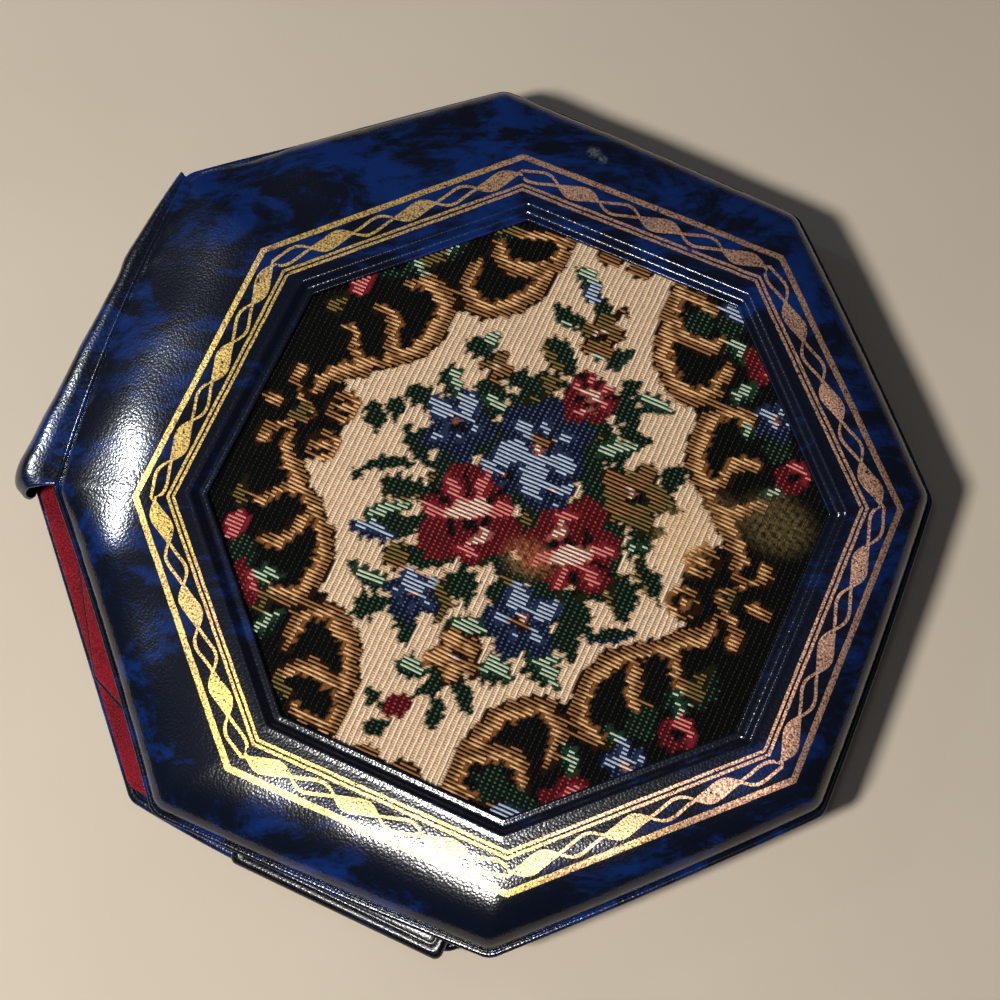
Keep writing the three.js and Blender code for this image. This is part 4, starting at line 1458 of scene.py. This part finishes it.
def run_edges(where, axis):
    """Edges that join neighbours along one axis where both belong to the same kind of weave."""
    index = np.full(where.shape, -1)
    index[where] = np.arange(where.sum())
    first = index[:, :-1] if axis == 1 else index[:-1]
    second = index[:, 1:] if axis == 1 else index[1:]
    joined = (first >= 0) & (second >= 0)
    return np.stack([first[joined], second[joined]], 1).tolist()


ribs = kinds == KINDS.index("rib")
cream_ribs = grow(thread_points("cream_ribs", ribs, 0.08, run_edges(ribs, 1)), cord_tree,
                  Width=0.33 * MM, Sides=6, Material=tapestry_thread)
rows = kinds == KINDS.index("row")
light_rows = grow(thread_points("light_rows", rows, 0.08, run_edges(rows, 0)), cord_tree,
                  Width=0.33 * MM, Sides=5, Material=tapestry_thread)
dots = kinds == KINDS.index("dot")
colour_dots = grow(thread_points("colour_dots", dots, 0.04), bead_tree,
                   Length=0.44 * MM, Width=0.34 * MM, Height=0.32 * MM, Seed=3,
                   Unevenness=0.15, Lean=0.25, Material=tapestry_thread)
dashes = kinds == KINDS.index("dash")
black_dashes = grow(thread_points("black_dashes", dashes, 0.02), bead_tree,
                    Length=0.24 * MM, Width=0.52 * MM, Height=0.3 * MM, Seed=5,
                    Unevenness=0.25, Lean=0.45, Material=tapestry_thread)
thread_pieces = [cream_ribs, light_rows, colour_dots, black_dashes]
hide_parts("tapestry_panel")
for piece in (tapestry, *thread_pieces):
    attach(piece, "lid")

# %% [markdown]
# ## The spine
# On the real case one strip of vinyl runs from the lid round to the base, and it bends each time
# the case is opened.

# %% Spine strip
SPINE_OUTLINE = [
    # places of the outermost line, from the end at -Y to the end at +Y, in the case's frame
    (-58.2, -26.2), (-60.0, -25.3), (-60.8, -23.4), (-61.0, -20.5), (-61.2, -10), (-61.4, 0),
    (-61.5, 8), (-62.0, 12.2), (-61.5, 18.4), (-61.0, 24), (-60.4, 27.6)]
SPINE_ROWS = 150
SPINE_STEPS = 44
SPINE_THICKNESS = 0.5
SPINE_TUCK_IN_LID = 0.45
SPINE_LAP_UNDER_BASE = 2.0
# Heights of the strip's middle, from inside the lid's rim over the roll to under the base
SPINE_HEIGHTS = [9.6, 9.7, 9.8, 9.0, 5.9, 2.5, 0.98, 0.96]
CREASE_DEPTH, CREASE_LENGTH = 0.16, 7


def resample(points, count):
    """Evenly spaced points along a polyline."""
    points = np.asarray(points, float)
    walked = np.concatenate([[0], np.cumsum(np.linalg.norm(np.diff(points, axis=0), axis=1))])
    return np.stack([np.interp(np.linspace(0, walked[-1], count), walked, points[:, axis])
                     for axis in range(points.shape[1])], 1)


def spine_section(lid_edge, base_edge, out):
    """Points of the strip's middle surface, from inside the lid's rim to under the base's."""
    tucked = lid_edge + np.array([SPINE_TUCK_IN_LID, 0])
    base_in = base_edge + np.array([SPINE_LAP_UNDER_BASE, 0])
    reach = out - lid_edge
    low = base_edge + (out - base_edge) * 0.78
    places = [tucked, lid_edge, lid_edge + reach * 0.35, lid_edge + reach * 0.75, out,
              low, base_edge, base_in]
    corners = [(*place, height) for place, height in zip(places, SPINE_HEIGHTS)]
    return resample(smooth_path(corners, 10), SPINE_STEPS)


spine_edges = {}
for name, corners, bows in (("lid", lid_rim, LID_SIDE_BOWS), ("base", base_rim, BASE_SIDE_BOWS)):
    low_end, high_end = corners[SPINE_SIDE + 1], corners[SPINE_SIDE]
    share = np.linspace(0.005, 0.995, SPINE_ROWS)[:, None]
    side = unit(high_end - low_end)
    bow = bows[SPINE_SIDE] * 4 * share * (1 - share) * np.array([-side[1], side[0]])
    spine_edges[name] = low_end + (high_end - low_end) * share + bow
spine_out = resample(smooth_path(SPINE_OUTLINE), SPINE_ROWS)
middle_rows = np.stack([spine_section(lid_edge, base_edge, out) for lid_edge, base_edge, out
                        in zip(spine_edges["lid"], spine_edges["base"], spine_out)])
across = np.gradient(middle_rows, axis=1)
along = np.gradient(middle_rows, axis=0)
spine_normals = unit(np.cross(across, along))
if spine_normals[SPINE_ROWS // 2, SPINE_STEPS // 2, 0] > 0:
    spine_normals = -spine_normals
share = np.linspace(0, 1, SPINE_STEPS)
half_thickness = SPINE_THICKNESS / 2 * (0.5 + 0.5 * smooth_step(share, 1, 0.9))
creases = CREASE_DEPTH * ripple(middle_rows[..., 1:], CREASE_LENGTH, 41) * np.sin(math.pi * share) ** 2
outer_rows = middle_rows + spine_normals * (half_thickness + creases)[..., None]
inner_rows = middle_rows - spine_normals * (half_thickness - creases)[..., None]


def slab_faces(rows, columns):
    """Quads of a closed slab between two equal grids of points, the outer grid first."""
    def out_at(r, c):
        return r * columns + c

    def in_at(r, c):
        return (rows + r) * columns + c

    faces = []
    for r in range(rows - 1):
        for c in range(columns - 1):
            faces.append((out_at(r, c), out_at(r, c + 1), out_at(r + 1, c + 1), out_at(r + 1, c)))
            faces.append((in_at(r, c), in_at(r + 1, c), in_at(r + 1, c + 1), in_at(r, c + 1)))
    for c in range(columns - 1):
        for r, flip in ((0, False), (rows - 1, True)):
            quad = (in_at(r, c), in_at(r, c + 1), out_at(r, c + 1), out_at(r, c))
            faces.append(quad[::-1] if flip else quad)
    for r in range(rows - 1):
        for c, flip in ((columns - 1, False), (0, True)):
            quad = (in_at(r, c), in_at(r + 1, c), out_at(r + 1, c), out_at(r, c))
            faces.append(quad[::-1] if flip else quad)
    return faces


spine_points = np.concatenate([outer_rows.reshape(-1, 3), inner_rows.reshape(-1, 3)])
spine = mesh_object("spine", spine_points, slab_faces(SPINE_ROWS, SPINE_STEPS), marbled_vinyl)
wear_at_lap = 0.22 * ridge(share, 0.05, 0.035)
wear_at_roll = 0.16 * ridge(share, 0.36, 0.03)
store_wear(spine, np.tile(np.clip(wear_at_lap + wear_at_roll, 0, 1), 2 * SPINE_ROWS))
point_outwards(spine)
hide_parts("spine_fold")
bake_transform(spine)

# %% [markdown]
# ## The layers under the lid
# Below the lid lie the base with its lining, the loose inner leaf and the closing tongue. Each is
# a thin closed sheet with a rounded edge. The lining and the leaf are made by one function, the tongue
# by its own, each from a stack of rings that starts under the sheet's middle, goes round its edge and
# ends on top of it.

# %% Soft sheets
EDGE_STEPS = 5
SHEET_ROUNDING = 3
SHEET_WAVINESS, SHEET_WAVE_LENGTH = 0.08, 13
SHEET_RING_INSETS = [24, 14, 8, 4.5, 2.6, 1.5, 0.9]


def sheet_rings(corners, low, thickness, bow, seed):
    """Rings of a closed sheet with a half-round edge, whose surface waves a little."""
    def ring_at(inset):
        return outline(offset(corners, -inset), max(SHEET_ROUNDING - inset * 0.3, 0.6), bow)

    middle = corners.mean(0)
    rings = [at_height(ring_at(inset), low) for inset in SHEET_RING_INSETS]
    rings += round_edge(ring_at, low, thickness, EDGE_STEPS)
    rings += [at_height(ring_at(inset), low + thickness) for inset in SHEET_RING_INSETS[::-1]]
    for ring in rings:
        near_edge = smooth_step(np.linalg.norm(ring[:, :2] - middle, axis=1), 20, 50)
        ring[:, 2] += SHEET_WAVINESS * ripple(ring[:, :2], SHEET_WAVE_LENGTH, seed) * near_edge
    return rings


def soft_sheet(name, node, corners, bow, material, seed):
    low, high = box_mm(node)
    piece = loft(name, sheet_rings(corners, low[2], high[2] - low[2], bow, seed), material)
    point_outwards(piece)
    fit(piece, node, "base")
    return piece


# %% Base lining and inner leaf
LINING_INSETS = np.array([1.8, 1.8, 1.8, 1.1, 0.65, 1.8, 1.8, 1.8])
LEAF_INSET = 2.2
LEAF_WELD_WIDTH = 0.4
LEAF_CUT_CORNER = SPINE_SIDE + 2
LEAF_SLIP_AT_SPINE = 2.8
LEAF_SLIP_AT_CUT = -1.7
LEAF_CUT_SLANT = 17
LEAF_CUT_FLAT = 15


def leaf_outline():
    """The base's outline, with one corner cut off and the side above it slipped inwards."""
    corners = offset(base_rim, -LEAF_INSET)
    corner = corners[LEAF_CUT_CORNER]
    before, after = corners[LEAF_CUT_CORNER - 1], corners[LEAF_CUT_CORNER + 1]
    side = unit(corner - before)
    inward = np.array([-side[1], side[0]])
    cut = [corner + unit(before - corner) * LEAF_CUT_SLANT + inward * LEAF_SLIP_AT_CUT,
           corner + unit(after - corner) * LEAF_CUT_FLAT]
    kept_before = corners[:LEAF_CUT_CORNER].copy()
    kept_before[-1] += inward * LEAF_SLIP_AT_SPINE
    return np.concatenate([kept_before, cut, corners[LEAF_CUT_CORNER + 1:]])


lining_corners = offset(base_rim, -LINING_INSETS)
leaf_corners = leaf_outline()
leaf_velour_corners = offset(leaf_corners, -LEAF_WELD_WIDTH)
base_velour = soft_sheet("base_velour", "base_lining", lining_corners, BASE_SIDE_BOWS, velour,
                         51)
leaf_back = soft_sheet("leaf_back", "inner_leaf_back", leaf_corners, 0.0, dark_vinyl,
                       52)
leaf_velour = soft_sheet("leaf_velour", "inner_leaf_velour", leaf_velour_corners, 0.0, velour,
                         52)

# %% Closing tongue
TONGUE_ROUNDING = 1.1
TONGUE_WELD_FROM_EDGE = 1.6
TONGUE_WELD_DEPTH = 0.13
TONGUE_WELD_HALF_WIDTH = 0.22
TONGUE_RING_INSETS = [12, 8, 4.5, 2.6, 2.0, 1.75, 1.6, 1.45, 1.2, 0.9]
tongue_low, tongue_high = box_mm("closing_tongue")
tongue_corners = np.array([
    [tongue_low[0], tongue_low[1]], [tongue_high[0], tongue_low[1]],
    [tongue_high[0], tongue_high[1]], [tongue_low[0], tongue_high[1]]])


def tongue_rings():
    """Rings of a flat pad with a weld a little inside its edge, above and below."""
    def ring_at(inset):
        return outline(offset(tongue_corners, -inset), max(TONGUE_ROUNDING - inset * 0.3, 0.4))

    stations = [(inset, TONGUE_WELD_DEPTH * ridge(inset, TONGUE_WELD_FROM_EDGE, TONGUE_WELD_HALF_WIDTH))
                for inset in TONGUE_RING_INSETS]
    below = [at_height(ring_at(inset), tongue_low[2] + weld) for inset, weld in stations]
    edge = round_edge(ring_at, tongue_low[2], tongue_high[2] - tongue_low[2], EDGE_STEPS + 2)
    above = [at_height(ring_at(inset), tongue_high[2] - weld) for inset, weld in stations[::-1]]
    return below + edge + above


tongue = loft("tongue", tongue_rings(), dark_vinyl)
point_outwards(tongue)
fit(tongue, "closing_tongue", "base")

# %% [markdown]
# ## The base and the lid's lining
# The base is built like the lid, but its padding faces down and the case stands on it. The lid's
# lining is a dished sheet of velour that follows the padding from inside.

# %% Base cover
BASE_PAD_INSET = 6
BASE_PUFF_RINGS = 16
BASE_FOOT_ROUNDING = 2
BASE_FOOT_INSETS = (36, 24, 14, 9)
BASE_TOP_INSETS = (0.75, 0.95, 1.05, 1.15, 1.25, 1.4, 1.8, 4, 10, 24)
BASE_WELD_FROM_EDGE = 1.15
BASE_WELD_DEPTH = 0.15
BASE_WELD_HALF_WIDTH = 0.12
base_top = base_high[2]
base_rim_underside = base_top - RIM_THICKNESS


def base_outline(corners, rounding=CORNER_ROUNDING):
    return outline(corners, rounding, BASE_SIDE_BOWS)


def base_rings():
    """Rings from the middle of the foot, up the padding and round the rim, to the top's middle."""
    def ring_at(inset):
        return base_outline(offset(base_rim, -inset))

    pad_edge, foot = offset(base_rim, -RIM_WIDTH), offset(base_rim, -BASE_PAD_INSET)
    rings = [at_height(base_outline(offset(base_rim, -inset), BASE_FOOT_ROUNDING), base_low[2])
             for inset in BASE_FOOT_INSETS]
    for turn in np.linspace(math.pi / 2, 0, BASE_PUFF_RINGS):
        corners = pad_edge + (foot - pad_edge) * (1 - math.cos(turn))
        rings.append(at_height(base_outline(corners), base_rim_underside * (1 - math.sin(turn))))
    rings += round_edge(ring_at, base_rim_underside, RIM_THICKNESS, RIM_EDGE_STEPS)
    for inset in BASE_TOP_INSETS:
        weld = BASE_WELD_DEPTH * ridge(inset, BASE_WELD_FROM_EDGE, BASE_WELD_HALF_WIDTH)
        rings.append(at_height(ring_at(inset), base_top - weld))
    return rings


base_skin = loft("base_skin", base_rings(), marbled_vinyl)
point_outwards(base_skin)
fit(base_skin, "base_cover", "base")

# %% Lid lining
LID_LINING_INSET = 1.1
LINING_THICKNESS = 0.8
LAYER_GAP = 0.25
LINING_BEHIND_WALL = 0.3
LINING_PUFF_RINGS = 18
LINING_TOP_INSETS = (3, 8, 16, 28)
LINING_WAVINESS, LINING_WAVE_LENGTH = 0.07, 15
lining_rim_top = rim_underside - LAYER_GAP
lining_crest_top = lid_inside - LAYER_GAP
lining_rise = offset(wall_inner, -LINING_BEHIND_WALL)
lining_crest = offset(crest, -LINING_BEHIND_WALL)
lining_edge = offset(lid_rim, -LID_LINING_INSET)


def lining_face(inwards):
    """Rings over the top of the lining, or over its underside, which lies so far further in."""
    puff = puff_rings(offset(lining_rise, -inwards), offset(lining_crest, -inwards),
                      lining_rim_top - inwards, lining_crest_top - inwards, LINING_PUFF_RINGS)
    middle = [at_height(window_outline(offset(lining_crest, -inset)), lining_crest_top - inwards)
              for inset in LINING_TOP_INSETS]
    return puff + middle


def lid_lining_rings():
    def ring_at(inset):
        return rim_outline(offset(lining_edge, -inset))

    edge = round_edge(ring_at, lining_rim_top - LINING_THICKNESS, LINING_THICKNESS, EDGE_STEPS)
    rings = lining_face(LINING_THICKNESS)[::-1] + edge + lining_face(0)
    for ring in rings:
        ring[:, 2] += LINING_WAVINESS * ripple(ring[:, :2], LINING_WAVE_LENGTH, 61)
    return rings


lid_velour = loft("lid_velour", lid_lining_rings(), velour)
point_outwards(lid_velour)
fit(lid_velour, "lid_lining", "lid")
